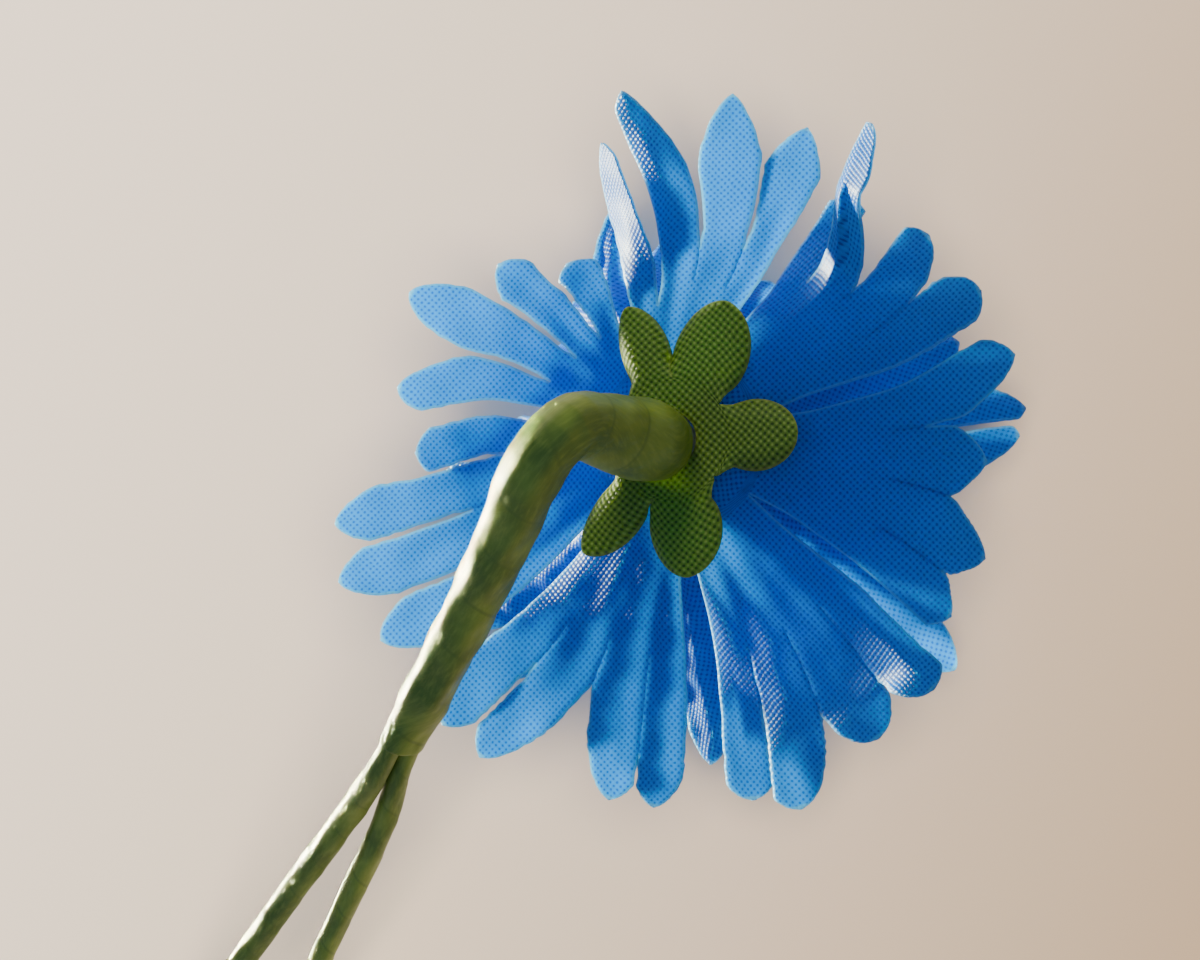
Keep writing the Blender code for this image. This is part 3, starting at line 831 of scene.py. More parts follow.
@dataclass
class PetalLayer:
    """One die-cut disc of satin. It is flat to bend_radius, then turns down from the flat to
    lean_start and opens again to lean_end at its tips, both measured from the axis on the face side."""

    node: str
    height: float
    bend_radius: float
    lean_start: float
    lean_end: float
    first_azimuth: float
    florets: tuple
    slit: float = 6.0
    notch: float = 15.0
    full_reach: float = 25.0
    pleat: float = 0.7
    hole_radius: float = 1.9
    across: int = 7
    disc_rows: int = 8
    palm_rows: int = 24
    lobe_rows: int = 24
    crumple: float = 0.12
    billow: float = 0.5
    seed: int = 1
    profile: Profile = field(init=False)

    def __post_init__(self) -> None:
        """Settles the line that the cloth follows."""
        self.profile = Profile(self.height, self.bend_radius, self.lean_start, self.lean_end,
                               self.full_reach, (self.slit, self.notch + 3))
        draw = random.Random(self.seed)

        def waves(slow: float, fast: float, count: int) -> list:
            """Wave numbers, directions and phases between two paces, in radians to a millimetre."""
            return [(draw.uniform(slow, fast), draw.uniform(0, 2 * math.pi), draw.uniform(0, 2 * math.pi))
                    for _ in range(count)]

        self.ripples, self.billows = waves(*RIPPLES), waves(*BILLOWS)
        self.pleats = [[draw.uniform(*PLEAT_SHARES) for _ in range(2 * LOBES + 1)] for _ in self.florets]

    def relief(self, cuts: np.ndarray, grown: np.ndarray = 1.0) -> np.ndarray:
        """How far the cloth's small and broad waves lift it at places in the flat cut.

        Args:
            cuts: The places.
            grown: How much of the broad waves there is at each.

        Returns:
            One height for each place.
        """
        small, broad = (self.sum_waves(waves, cuts) for waves in (self.ripples, self.billows))
        return self.crumple * small + self.billow * grown * broad

    def sum_waves(self, waves: list, cuts: np.ndarray) -> np.ndarray:
        """The sum of some waves over the flat cut.

        Args:
            waves: Their paces, directions and phases.
            cuts: Places in the flat cut.

        Returns:
            One height for each place, scaled so that few pass 1.
        """
        total = np.zeros(cuts.shape[:-1])
        for pace, turn, phase in waves:
            total += np.sin(pace * (cuts[..., 0] * math.cos(turn) + cuts[..., 1] * math.sin(turn)) + phase)
        return total / math.sqrt(len(waves))

    def half_width(self, floret: Floret, share: np.ndarray) -> np.ndarray:
        """A lobe's half width: it swells from its root, then comes to a round point.

        Args:
            floret: The lobe's floret.
            share: Shares of the lobe's length.

        Returns:
            The half width at each share.
        """
        swelling = mix(ROOT_WIDTH, 1.0, np.sin(np.clip(share / floret.widest, 0, 1) * math.pi / 2))
        left = np.clip(share - floret.widest, 0, None) / (1 - floret.widest)
        return floret.half_width * swelling * np.clip(1 - left**2, 0, 1) ** floret.bluntness

    def lobe_azimuth(self, number: int, along: float) -> float:
        """The middle azimuth of a lobe.

        Args:
            number: The lobe, counted round the whole layer.
            along: A length along the cloth.

        Returns:
            The azimuth there.
        """
        count = LOBES * len(self.florets)
        floret = self.florets[number // LOBES % len(self.florets)]
        even = self.first_azimuth + (180 - 360 / LOBES / 2) / len(self.florets) - 360 * number / count
        swung = float(ease(along, self.notch, floret.reaches[number % LOBES]))
        shifted = even + floret.shift * float(ease(along, self.slit, self.slit + TWIST_GROWS))
        return shifted + floret.turns[number % LOBES] * swung

    def floret_azimuth(self, number: int) -> float:
        """The azimuth of a floret's middle."""
        return self.first_azimuth + self.florets[number].shift - 360 * number / len(self.florets)

    def add_disc(self, cloth: Cloth) -> list:
        """Adds the disc round the peg and its turned-down edge.

        Args:
            cloth: The sheet.

        Returns:
            The outermost row, from the first floret's leading slit, in rising azimuth.
        """
        count = 2 * LOBES * self.across * len(self.florets)
        azimuths = self.first_azimuth + 180 / len(self.florets) + 360 * np.arange(count) / count
        rows = np.linspace(self.bend_radius * FLAT_SHARE, self.slit, self.disc_rows)
        return cloth.rings(self.profile, [self.hole_radius, *rows], azimuths, self.hole_radius)

    def column_leans(self, floret: Floret, columns: np.ndarray) -> np.ndarray:
        """The extra lean across a floret: its lobes' own at their middles, shared between them.

        Args:
            floret: The floret.
            columns: Places across it, in half lobes from its high side.

        Returns:
            The extra lean at each place.
        """
        leans = floret.leans
        knots = [leans[0]]
        for k in range(LOBES):
            knots.append(leans[k])
            knots.append((leans[k] + leans[min(k + 1, LOBES - 1)]) / 2)
        return np.interp(columns, np.arange(2 * LOBES + 1), knots)

    def strip_row(self, cloth: Cloth, number: int, along: float) -> list:
        """Adds one row of points across a lobe or across the part of the palm that leads to it.

        A side where the lobe is still joined to its neighbour follows the line halfway between the two,
        so that the neighbour's own row meets it there.

        Args:
            cloth: The sheet.
            number: The lobe, counted round the whole layer.
            along: Length along the cloth.

        Returns:
            The numbers of the row's points, in rising azimuth.
        """
        floret_number, index = divmod(number, LOBES)
        floret = self.florets[floret_number]
        sides = np.linspace(-1, 1, 2 * self.across + 1)
        low_notch = floret.notches[index] if index < LOBES - 1 else self.slit
        high_notch = floret.notches[index - 1] if index > 0 else self.slit
        notch = np.where(sides < 0, low_notch, high_notch)
        outer = notch == self.slit
        reach, columns = floret.reaches[index], 2 * index + 1 - sides
        root = min(self.notch, *floret.notches)
        start = np.where(outer, root, notch)
        freed, turned = ease(along, start, reach), ease(along, start, mix(start, reach, ROLL_FULL))
        extra = mix(self.column_leans(floret, columns), floret.leans[index], freed)
        radius = self.profile.radius(np.full(len(sides), along), extra)
        middle = self.lobe_azimuth(number, along)
        room = np.where(sides < 0, middle - self.lobe_azimuth(number + 1, along),
                        self.lobe_azimuth(number - 1, along) - middle) / 2
        wedge = np.radians(room) * radius
        share = (along - root) / (reach - root)
        side_gap = np.where(sides < 0, floret.side_gaps[1], floret.side_gaps[0])
        outer_gap = side_gap * ease(along, self.slit, self.slit + SLIT_OPENS)
        gap = np.where(outer, outer_gap, LOBE_GAP / 2 * ease(along, notch, notch + NOTCH_OPENS))
        petal = float(self.half_width(floret, share)) if share > 0 else math.inf
        width = mix(wedge, np.minimum(petal, wedge - gap), ease(along, notch, notch + OUTLINE_STARTS))
        uneven = UNEVEN * math.sin(UNEVEN_LOBE * number + UNEVEN_PACE * along)
        width = width * (1 + uneven * (share > UNEVEN_FROM))
        tilt = np.radians(floret.rolls[index]) * turned
        swing = np.degrees(sides * width * np.cos(tilt) / radius)
        flat_turn = np.radians(middle + np.degrees(sides * width / radius) - self.first_azimuth)
        cuts = polar(along, flat_turn)
        strength = self.pleat * np.interp(columns, np.arange(2 * LOBES + 1), self.pleats[floret_number])
        grown = ease(along, self.slit, self.slit + PLEAT_GROWS)
        pleat = strength / 2 * grown * mix(1, PLEATS_LEFT, ease(along, *PLEATS_FADE))
        off_middle = np.radians(middle + swing - self.floret_azimuth(floret_number)) * radius
        grown = ease(along, self.slit, self.slit + TWIST_GROWS)
        lift = (pleat * np.cos(math.pi * sides) + sides * width * np.sin(tilt)
                + math.tan(math.radians(floret.twist)) * off_middle * grown
                + floret.rises[index] * turned + self.relief(cuts, ease(along, *BILLOWS_GROW)))
        points = self.profile.place(along, middle + swing, extra, lift)
        rim = (1 - abs(sides)) * width
        rim = np.where(along < notch, np.hypot(rim, notch - along), rim)
        return cloth.row(points, cuts, np.minimum(rim, TIP_RIM * (reach - along)))

    def add_floret(self, cloth: Cloth, edge: list, number: int) -> None:
        """Adds a floret: rows right across its palm as far as its deepest notch, then lobe by lobe.

        Args:
            cloth: The sheet.
            edge: The disc's last row.
            number: The floret.
        """
        floret = self.florets[number]
        joined = max(floret.notches)
        for index in range(LOBES):
            first = -2 * self.across * (LOBES * number + index + 1)
            row = [edge[(first + column) % len(edge)] for column in range(2 * self.across + 1)]
            reach = floret.reaches[index]
            steps = np.arange(1, self.lobe_rows + 1) / (self.lobe_rows + 1)
            common = np.linspace(self.slit, joined, self.palm_rows + 1)[1:]
            alongs = np.concatenate([common, mix(joined, reach, np.sin(steps * math.pi / 2) ** CROWDING)])
            for along in alongs:
                made = self.strip_row(cloth, LOBES * number + index, float(along))
                cloth.weave(row, made)
                row = made
            azimuth = self.lobe_azimuth(LOBES * number + index, reach)
            cut = polar(reach, np.radians([azimuth - self.first_azimuth]))
            off_middle = math.radians(azimuth - self.floret_azimuth(number)) * reach
            lift = self.relief(cut) + math.tan(math.radians(floret.twist)) * off_middle + floret.rises[index]
            cloth.close_tip(row, self.profile.place(reach, azimuth, floret.leans[index], lift), cut)

    def build(self, finish: Material, under: str) -> Object:
        """Makes the whole layer.

        Args:
            finish: The satin.
            under: The name of what the layer is gathered on.

        Returns:
            The piece.
        """
        cloth = Cloth()
        edge = self.add_disc(cloth)
        for number in range(len(self.florets)):
            self.add_floret(cloth, edge, number)
        return cloth.make(self.node, Slot.PETAL, finish, [under])


# The calyx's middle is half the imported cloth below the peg's end. Each layer lies one packed thickness and
# a clearance below the last one.
CALYX_HEIGHT = PEG_TOP - CAD_CLOTH / 2
CLEAR = 0.3
STEP_UP = CAD_CLOTH + CLEAR


def petal_layers() -> tuple:
    """The three blue layers, from the back of the bloom to its face.

    Returns:
        The layers.
    """
    outer = PetalLayer(
        node="petals_outer",
        height=CALYX_HEIGHT - STEP_UP,
        bend_radius=3.3,
        lean_start=69,
        lean_end=93,
        first_azimuth=38.8,
        florets=(
            Floret((1, 8, 3, 2), (23.6, 26.8, 26.1, 24.8), (4, 4, -2, -4), (-46, -19, 7, 8),
                   (10.5, 14.5, 15.0), 2.6, (0.5, 0.3), bluntness=0.72, shift=-5),
            Floret((-3, 6.5, 6, 4), (21.8, 28.2, 23.4, 24.6), (-6, 4, -8, -8), (9, -24, -4, -4),
                   (15.0, 16.5, 19.5), 2.7, (0.2, 0.5), 0.6, 0.5, -20, (0, 8, 0, 0)),
            Floret((5, 0, -4, -3), (25.2, 22.5, 24.0, 23.6), (0, -2, 2, 0), (8, 6, 12, 0),
                   (18.0, 20.0, 21.5), 2.6, (0.5, 0.4), 0.5, 0.68),
            Floret((0, -1, -6, -2), (26.8, 26.0, 28.0, 27.0), (0, -6, -7, -10), (-28, -10, -14, -14),
                   (22.5, 22.0, 20.5), 2.9, (0.4, 0.5), 0.66, 0.5, twist=17),
            Floret((-1, 4, -6, -1), (27.0, 27.0, 28.5, 28.5), (-2, 0, 2, 4), (-9, -15, -13, -8),
                   (23.5, 19.5, 20.5), 2.5, (0.5, 0.4), 0.6, twist=10),
            Floret((-3, -1, 3, 5), (28.0, 29.2, 28.6, 22.5), (8, 8, 6, 0), (0, 4, 0, -6),
                   (17.0, 18.0, 15.0), 2.5, (0.4, 0.5)),
            Floret((6, 2, 1, 2), (23.4, 24.8, 20.5, 17.0), (10, 11, 8, 0), (0, 0, 6, 6),
                   (12.0, 11.0, 10.5), 2.35, (0.6, 0.8), bluntness=0.55),
        ),
        pleat=0.12,
        billow=0.15,
        crumple=0.05,
        seed=3,
    )
    middle = PetalLayer(
        node="petals_middle",
        height=CALYX_HEIGHT - 2 * STEP_UP,
        bend_radius=3.0,
        lean_start=50,
        lean_end=74,
        first_azimuth=64.5,
        florets=(
            Floret((0, -9, -2, 0), (20.0, 23.8, 20.0, 19.0), (-16, 0, -14, -18), (0, 20, 0, 0)),
            Floret((0, 0, 0, 0), (16.2, 16.2, 17.0, 17.5), (-34, -32, -26, -22), (0, 0, 0, 0)),
            Floret((0, 1, -2, 6), (19.0, 22.0, 25.5, 25.0), (-14, 2, 2, 0), (0, -16, -14, -12)),
            Floret((0, 0, 0, -2), (21.5, 22.0, 26.5, 22.0), (-6, -4, 0, -8), (0, 0, -12, 0)),
            Floret((0, -2, 1, -1), (21.5, 23.0, 26.0, 22.5), (-8, -4, 0, -6), (0, 8, 12, 0)),
            Floret((0, -5, -4, -3), (24.0, 28.0, 28.5, 27.0), (-8, 0, 0, 0), (0, 8, 0, -6)),
            Floret((-3, 0, 0, 0), (27.0, 22.0, 19.0, 19.0), (-2, -12, -20, -20), (0, 0, 0, 0)),
        ),
        seed=5,
    )
    inner = PetalLayer(
        node="petals_inner",
        height=CALYX_HEIGHT - 3 * STEP_UP,
        bend_radius=2.6,
        lean_start=20,
        lean_end=48,
        first_azimuth=10.0,
        florets=drawn_florets(23, (22.0,) * 5, (0.4, 1.5, 2.5, 10.0), 12.5, 1.6),
        slit=5.6,
        notch=12.5,
        full_reach=21.0,
        pleat=0.5,
        billow=0.3,
        seed=7,
    )
    return outer, middle, inner


@dataclass
class Calyx:
    """The green star: six cupped sepals round a disc. Each sepal has an azimuth, a length and a half
    width. Its sides droop by cup and its middle swells by puff, each shaped by its power. Its own outline
    and its cup each grow over a first share of its length, and its tip stands tip_puff proud."""

    node: str = "calyx"
    sepals: tuple = (
        (57.0, 10.2, 1.85),
        (13.0, 10.6, 2.9),
        (-51.0, 9.4, 2.6),
        (-136.0, 9.9, 2.8),
        (177.0, 10.5, 1.9),
        (118.0, 9.6, 2.2),
    )
    notch: float = 4.2
    cup: float = 1.05
    puff: float = 0.3
    hole_radius: float = 1.9
    across: int = 10
    disc_rows: int = 8
    rows: int = 20
    bend_radius: float = 2.6
    leans: tuple = (84, 96)
    full_reach: float = 10.0
    widest: float = 0.45
    bluntness: float = 0.6
    crowding: float = 1.2
    outline_grows: float = 0.16
    cup_grows: float = 0.3
    cup_power: float = 3.6
    puff_power: float = 0.8
    tip_puff: float = 0.1

    def build(self, finish: Material) -> Object:
        """Makes the calyx.

        Args:
            finish: The satin.

        Returns:
            The piece.
        """
        profile = Profile(CALYX_HEIGHT, self.bend_radius, *self.leans, self.full_reach,
                          (self.notch, self.full_reach))
        ordered = sorted((azimuth % 360, reach, half) for azimuth, reach, half in self.sepals)
        middles = [azimuth for azimuth, _, _ in ordered]
        bounds = [(a + b) / 2 for a, b in zip(middles, [*middles[1:], middles[0] + 360])]
        bounds = [bounds[-1] - 360, *bounds]
        columns = 2 * self.across
        spread = []
        for number, middle in enumerate(middles):
            low, high = bounds[number], bounds[number + 1]
            for column in range(columns):
                side = column / self.across - 1
                spread.append(middle + side * (middle - low if side < 0 else high - middle))
        spread = np.array(spread)
        cloth = Cloth()
        disc = np.linspace(self.hole_radius, self.notch, self.disc_rows)
        edge = cloth.rings(profile, disc, spread, self.hole_radius)
        for number, sepal in enumerate(ordered):
            root = [edge[(columns * number + i) % len(edge)] for i in range(columns + 1)]
            self.add_sepal(cloth, profile, root, sepal, bounds[number : number + 2])
        return cloth.make(self.node, Slot.CALYX, finish, ["petals_outer_cloth"])

    def add_sepal(self, cloth: Cloth, profile: Profile, root: list, sepal: tuple, bounds: list) -> None:
        """Adds one sepal.

        Args:
            cloth: The sheet.
            profile: The line that it follows.
            root: The disc's points where it starts.
            sepal: Its azimuth, length and half width.
            bounds: The azimuths where it meets its neighbours.
        """
        middle, reach, half = sepal
        turn = math.radians(middle)
        sides = np.linspace(-1, 1, 2 * self.across + 1)
        row = root
        for step in range(1, self.rows + 1):
            share = math.sin(step / (self.rows + 1) * math.pi / 2) ** self.crowding
            along = mix(self.notch, reach, share)
            swell = math.sin(min(share / self.widest, 1) * math.pi / 2)
            left = max(0.0, share - self.widest) / (1 - self.widest)
            width = half * mix(ROOT_WIDTH, 1.0, swell) * max(0.0, 1 - left**2) ** self.bluntness
            radius = float(profile.radius(along)[0])
            shown = np.degrees(sides * width / radius)
            wedge = np.where(sides < 0, sides * (middle - bounds[0]), sides * (bounds[1] - middle))
            swing = mix(wedge, shown, float(ease(share, 0, self.outline_grows)))
            drop = self.cup * np.abs(sides) ** self.cup_power * (width / half)
            drop = drop * float(ease(share, 0, self.cup_grows))
            drop = drop - self.puff * math.sin(math.pi * share**self.puff_power)
            arc = np.radians(swing) * radius
            cuts = np.stack([along * math.cos(turn) - arc * math.sin(turn),
                             along * math.sin(turn) + arc * math.cos(turn)], axis=-1)
            points = profile.place(along, middle + swing, 0.0, -drop)
            made = cloth.row(points, cuts, (1 - np.abs(sides)) * width)
            cloth.weave(row, made)
            row = made
        tip = profile.place(reach, middle, 0.0, -self.tip_puff)
        cloth.close_tip(row, tip, polar(reach, np.array([turn])))


# Stem


def smooth_route(points: tuple, spacing: float) -> np.ndarray:
    """Points along a smooth curve through the given ones.

    Args:
        points: The given points.
        spacing: About how far apart the new ones are.

    Returns:
        One row for each point.
    """
    points = np.array(points, float)
    ends = [2 * points[0] - points[1], *points, 2 * points[-1] - points[-2]]
    made = []
    for k in range(1, len(ends) - 2):
        p0, p1, p2, p3 = ends[k - 1 : k + 3]
        pieces = max(1, round(float(np.linalg.norm(p2 - p1)) / spacing))
        for share in np.arange(pieces) / pieces:
            made.append(0.5 * (2 * p1 + (p2 - p0) * share + (2 * p0 - 5 * p1 + 4 * p2 - p3) * share**2
                               + (3 * p1 - p0 - 3 * p2 + p3) * share**3))
    made.append(points[-1])
    return np.array(made)


def lengths_along(route: np.ndarray) -> np.ndarray:
    """The length of the route up to each of its points."""
    return np.concatenate([[0], np.cumsum(np.linalg.norm(np.diff(route, axis=0), axis=1))])


def split_axes(route: np.ndarray, tilt_degrees: float) -> tuple:
    """The direction in which the two wires lie beside each other, and the one across it.

    Args:
        route: The middle line.
        tilt_degrees: How far the first direction is turned from upright.

    Returns:
        The two unit vectors at each point.
    """
    ahead = unit(np.gradient(route, axis=0))
    side = unit(np.array([0.0, 1.0, 0.0]) - ahead[:, 1:2] * ahead)
    up = np.cross(side, ahead)
    tilt = math.radians(tilt_degrees)
    return math.cos(tilt) * up + math.sin(tilt) * side, math.cos(tilt) * side - math.sin(tilt) * up


def new_tree(name: str, sockets: dict) -> tuple:
    """Starts a geometry tree with named inputs.

    Args:
        name: Its name.
        sockets: Each input's kind, by the input's name.

    Returns:
        The tree and what is given to it.
    """
    tree = bpy.data.node_groups.new(name, "GeometryNodeTree")
    for label, kind in {"Geometry": "Geometry", **sockets, "Finish": "Material"}.items():
        tree.interface.new_socket(label, in_out="INPUT", socket_type=f"NodeSocket{kind}")
    tree.interface.new_socket("Geometry", in_out="OUTPUT", socket_type="NodeSocketGeometry")
    return tree, tree.nodes.new("NodeGroupInput").outputs


def store(tree: NodeTree, geometry: Node, name: str, value: Node, **settings) -> Node:
    """Adds a node that keeps a value on the mesh under a name."""
    inputs = {"Geometry": geometry, "Name": name, "Value": value}
    return add_node(tree, "GeometryNodeStoreNamedAttribute", inputs, **settings)


def end_tree(tree: NodeTree, geometry: Node, finish: NodeSocket) -> NodeTree:
    """Ends a geometry tree: the result is smooth, real and wears its material.

    Args:
        tree: The tree.
        geometry: What it made.
        finish: The material.

    Returns:
        The tree.
    """
    smooth = add_node(tree, "GeometryNodeSetShadeSmooth", {"Geometry": geometry})
    real = add_node(tree, "GeometryNodeRealizeInstances", {"Geometry": smooth})
    dressed = add_node(tree, "GeometryNodeSetMaterial", {"Geometry": real, "Material": finish})
    add_node(tree, "NodeGroupOutput", {0: dressed})
    return tree


def grow(name: str, seed_mesh: Mesh, tree: NodeTree, values: dict) -> Object:
    """Runs a geometry tree on a mesh and keeps the result as a plain mesh.

    Args:
        name: The piece's name.
        seed_mesh: What the tree starts from.
        tree: The tree.
        values: A value for each of its named inputs.

    Returns:
        The piece.
    """
    source = add_object(f"{name}_seed", seed_mesh)
    live = source.modifiers.new("grow", "NODES")
    live.node_group = tree
    for socket in tree.interface.items_tree:
        if getattr(socket, "in_out", None) == "INPUT" and socket.name in values:
            live[socket.identifier] = values[socket.name]
    graph = bpy.context.evaluated_depsgraph_get()
    mesh = bpy.data.meshes.new_from_object(source.evaluated_get(graph))
    mesh.name = name
    source.modifiers.remove(live)
    bpy.data.objects.remove(source)
    return add_object(name, mesh)


# In shares of a turn of tape: the width over which its edge rises, and where the painted shadow line of the
# lap starts and, in the next turn, ends. Creases come at this pace along the stem, to a metre, and round it.
LAP_RISE = 0.16
LAP_SHADOW_STARTS = 0.93
LAP_SHADOW_ENDS = 0.05
CREASE_PACE = 330.0
CREASE_ROUND = 1.1


def wound_tree() -> NodeTree:
    """The tree that sweeps a skin along a line and winds tape round it.

    The line is a mesh of edges whose points carry the vectors wide and deep, from the middle to the
    skin. Each turn of tape laps over the last by a small step, and creases run along it.

    Returns:
        The tree.
    """
    tree, given = new_tree("wound tape", {
        "Rows": "Int", "Sides": "Int", "Turn Pitch": "Float", "Lap Step": "Float", "Crease Depth": "Float",
        "Seed": "Float",
    })
    line = add_node(tree, "GeometryNodeMeshToCurve", {"Mesh": given["Geometry"]})
    skin = add_node(tree, "GeometryNodeMeshGrid", {
        "Size X": 1.0, "Size Y": 1.0,
        "Vertices X": maths(tree, "ADD", given["Rows"], 1.0),
        "Vertices Y": maths(tree, "ADD", given["Sides"], 1.0),
    })
    uv = add_node(tree, "ShaderNodeSeparateXYZ", {0: skin.outputs["UV Map"]})
    share, round_share = uv.outputs[0], uv.outputs[1]
    angle = maths(tree, "MULTIPLY", round_share, 2 * math.pi)
    held = [add_node(tree, "GeometryNodeInputNamedAttribute", {"Name": name}, data_type="FLOAT_VECTOR")
            for name in ("wide", "deep")]
    wide, deep = (add_node(tree, "GeometryNodeSampleCurve",
                           {"Curves": line, "Value": vector, "Factor": share},
                           data_type="FLOAT_VECTOR") for vector in held)
    out = vectors(tree, "ADD", scaled(tree, wide.outputs["Value"], maths(tree, "COSINE", angle)),
                  scaled(tree, deep.outputs["Value"], maths(tree, "SINE", angle)))
    away = vectors(tree, "NORMALIZE", out)
    along = maths(tree, "MULTIPLY", add_node(tree, "GeometryNodeCurveLength", {"Curve": line}), share)
    wound = maths(tree, "ADD", maths(tree, "DIVIDE", along, given["Turn Pitch"]), round_share)
    place = maths(tree, "FRACT", wound)
    step = maths(tree, "MINIMUM", ramp(tree, place, 0.0, LAP_RISE), ramp(tree, place, 1.0, LAP_RISE))
    proud = maths(tree, "MULTIPLY", step, given["Lap Step"])
    run = add_node(tree, "ShaderNodeCombineXYZ", {0: maths(tree, "MULTIPLY", along, CREASE_PACE)})
    spot = vectors(tree, "ADD", scaled(tree, away, CREASE_ROUND), run)
    creases = add_node(tree, "ShaderNodeTexNoise",
                       {"Vector": spot, "W": given["Seed"], "Scale": 1.0, "Detail": 0.4},
                       noise_dimensions="4D")
    crease = maths(tree, "MULTIPLY", maths(tree, "SUBTRACT", creases, 0.5), given["Crease Depth"])
    lifted = scaled(tree, away, maths(tree, "ADD", proud, crease))
    final = vectors(tree, "ADD", vectors(tree, "ADD", wide.outputs["Position"], out), lifted)
    radius = vectors(tree, "LENGTH", deep.outputs["Value"]).outputs["Value"]
    flat = add_node(tree, "ShaderNodeCombineXYZ", {0: along, 1: maths(tree, "MULTIPLY", radius, angle)})
    mapped = store(tree, skin, "wrap", scaled(tree, flat, 1 / MM), data_type="FLOAT2", domain="CORNER")
    # The painted shadow line along each lap's edge, kept as the attribute lap.
    lap = maths(tree, "MAXIMUM", ramp(tree, place, 0.0, LAP_SHADOW_ENDS, 1.0, 0.0),
                ramp(tree, place, LAP_SHADOW_STARTS, 1.0))
    marked = store(tree, mapped, "lap", lap, data_type="FLOAT", domain="POINT")
    moved = add_node(tree, "GeometryNodeSetPosition", {"Geometry": marked, "Position": final})
    joined = add_node(tree, "GeometryNodeMergeByDistance", {"Geometry": moved, "Distance": 1e-6})
    return end_tree(tree, joined, given["Finish"])


@dataclass(frozen=True)
class Winding:
    """How a skin is wound: how many rows and sides it has, and, in millimetres, how far apart its turns
    are, how high each laps over the last one, and how deep its creases are."""

    rows: int
    sides: int
    pitch: float
    lap: float
    crease: float

    def inputs(self) -> dict:
        """The winding tree's inputs for it.

        Returns:
            A value for each input's name.
        """
        lengths = {"Turn Pitch": self.pitch, "Lap Step": self.lap, "Crease Depth": self.crease}
        return {"Rows": self.rows, "Sides": self.sides, **{name: mm * MM for name, mm in lengths.items()}}


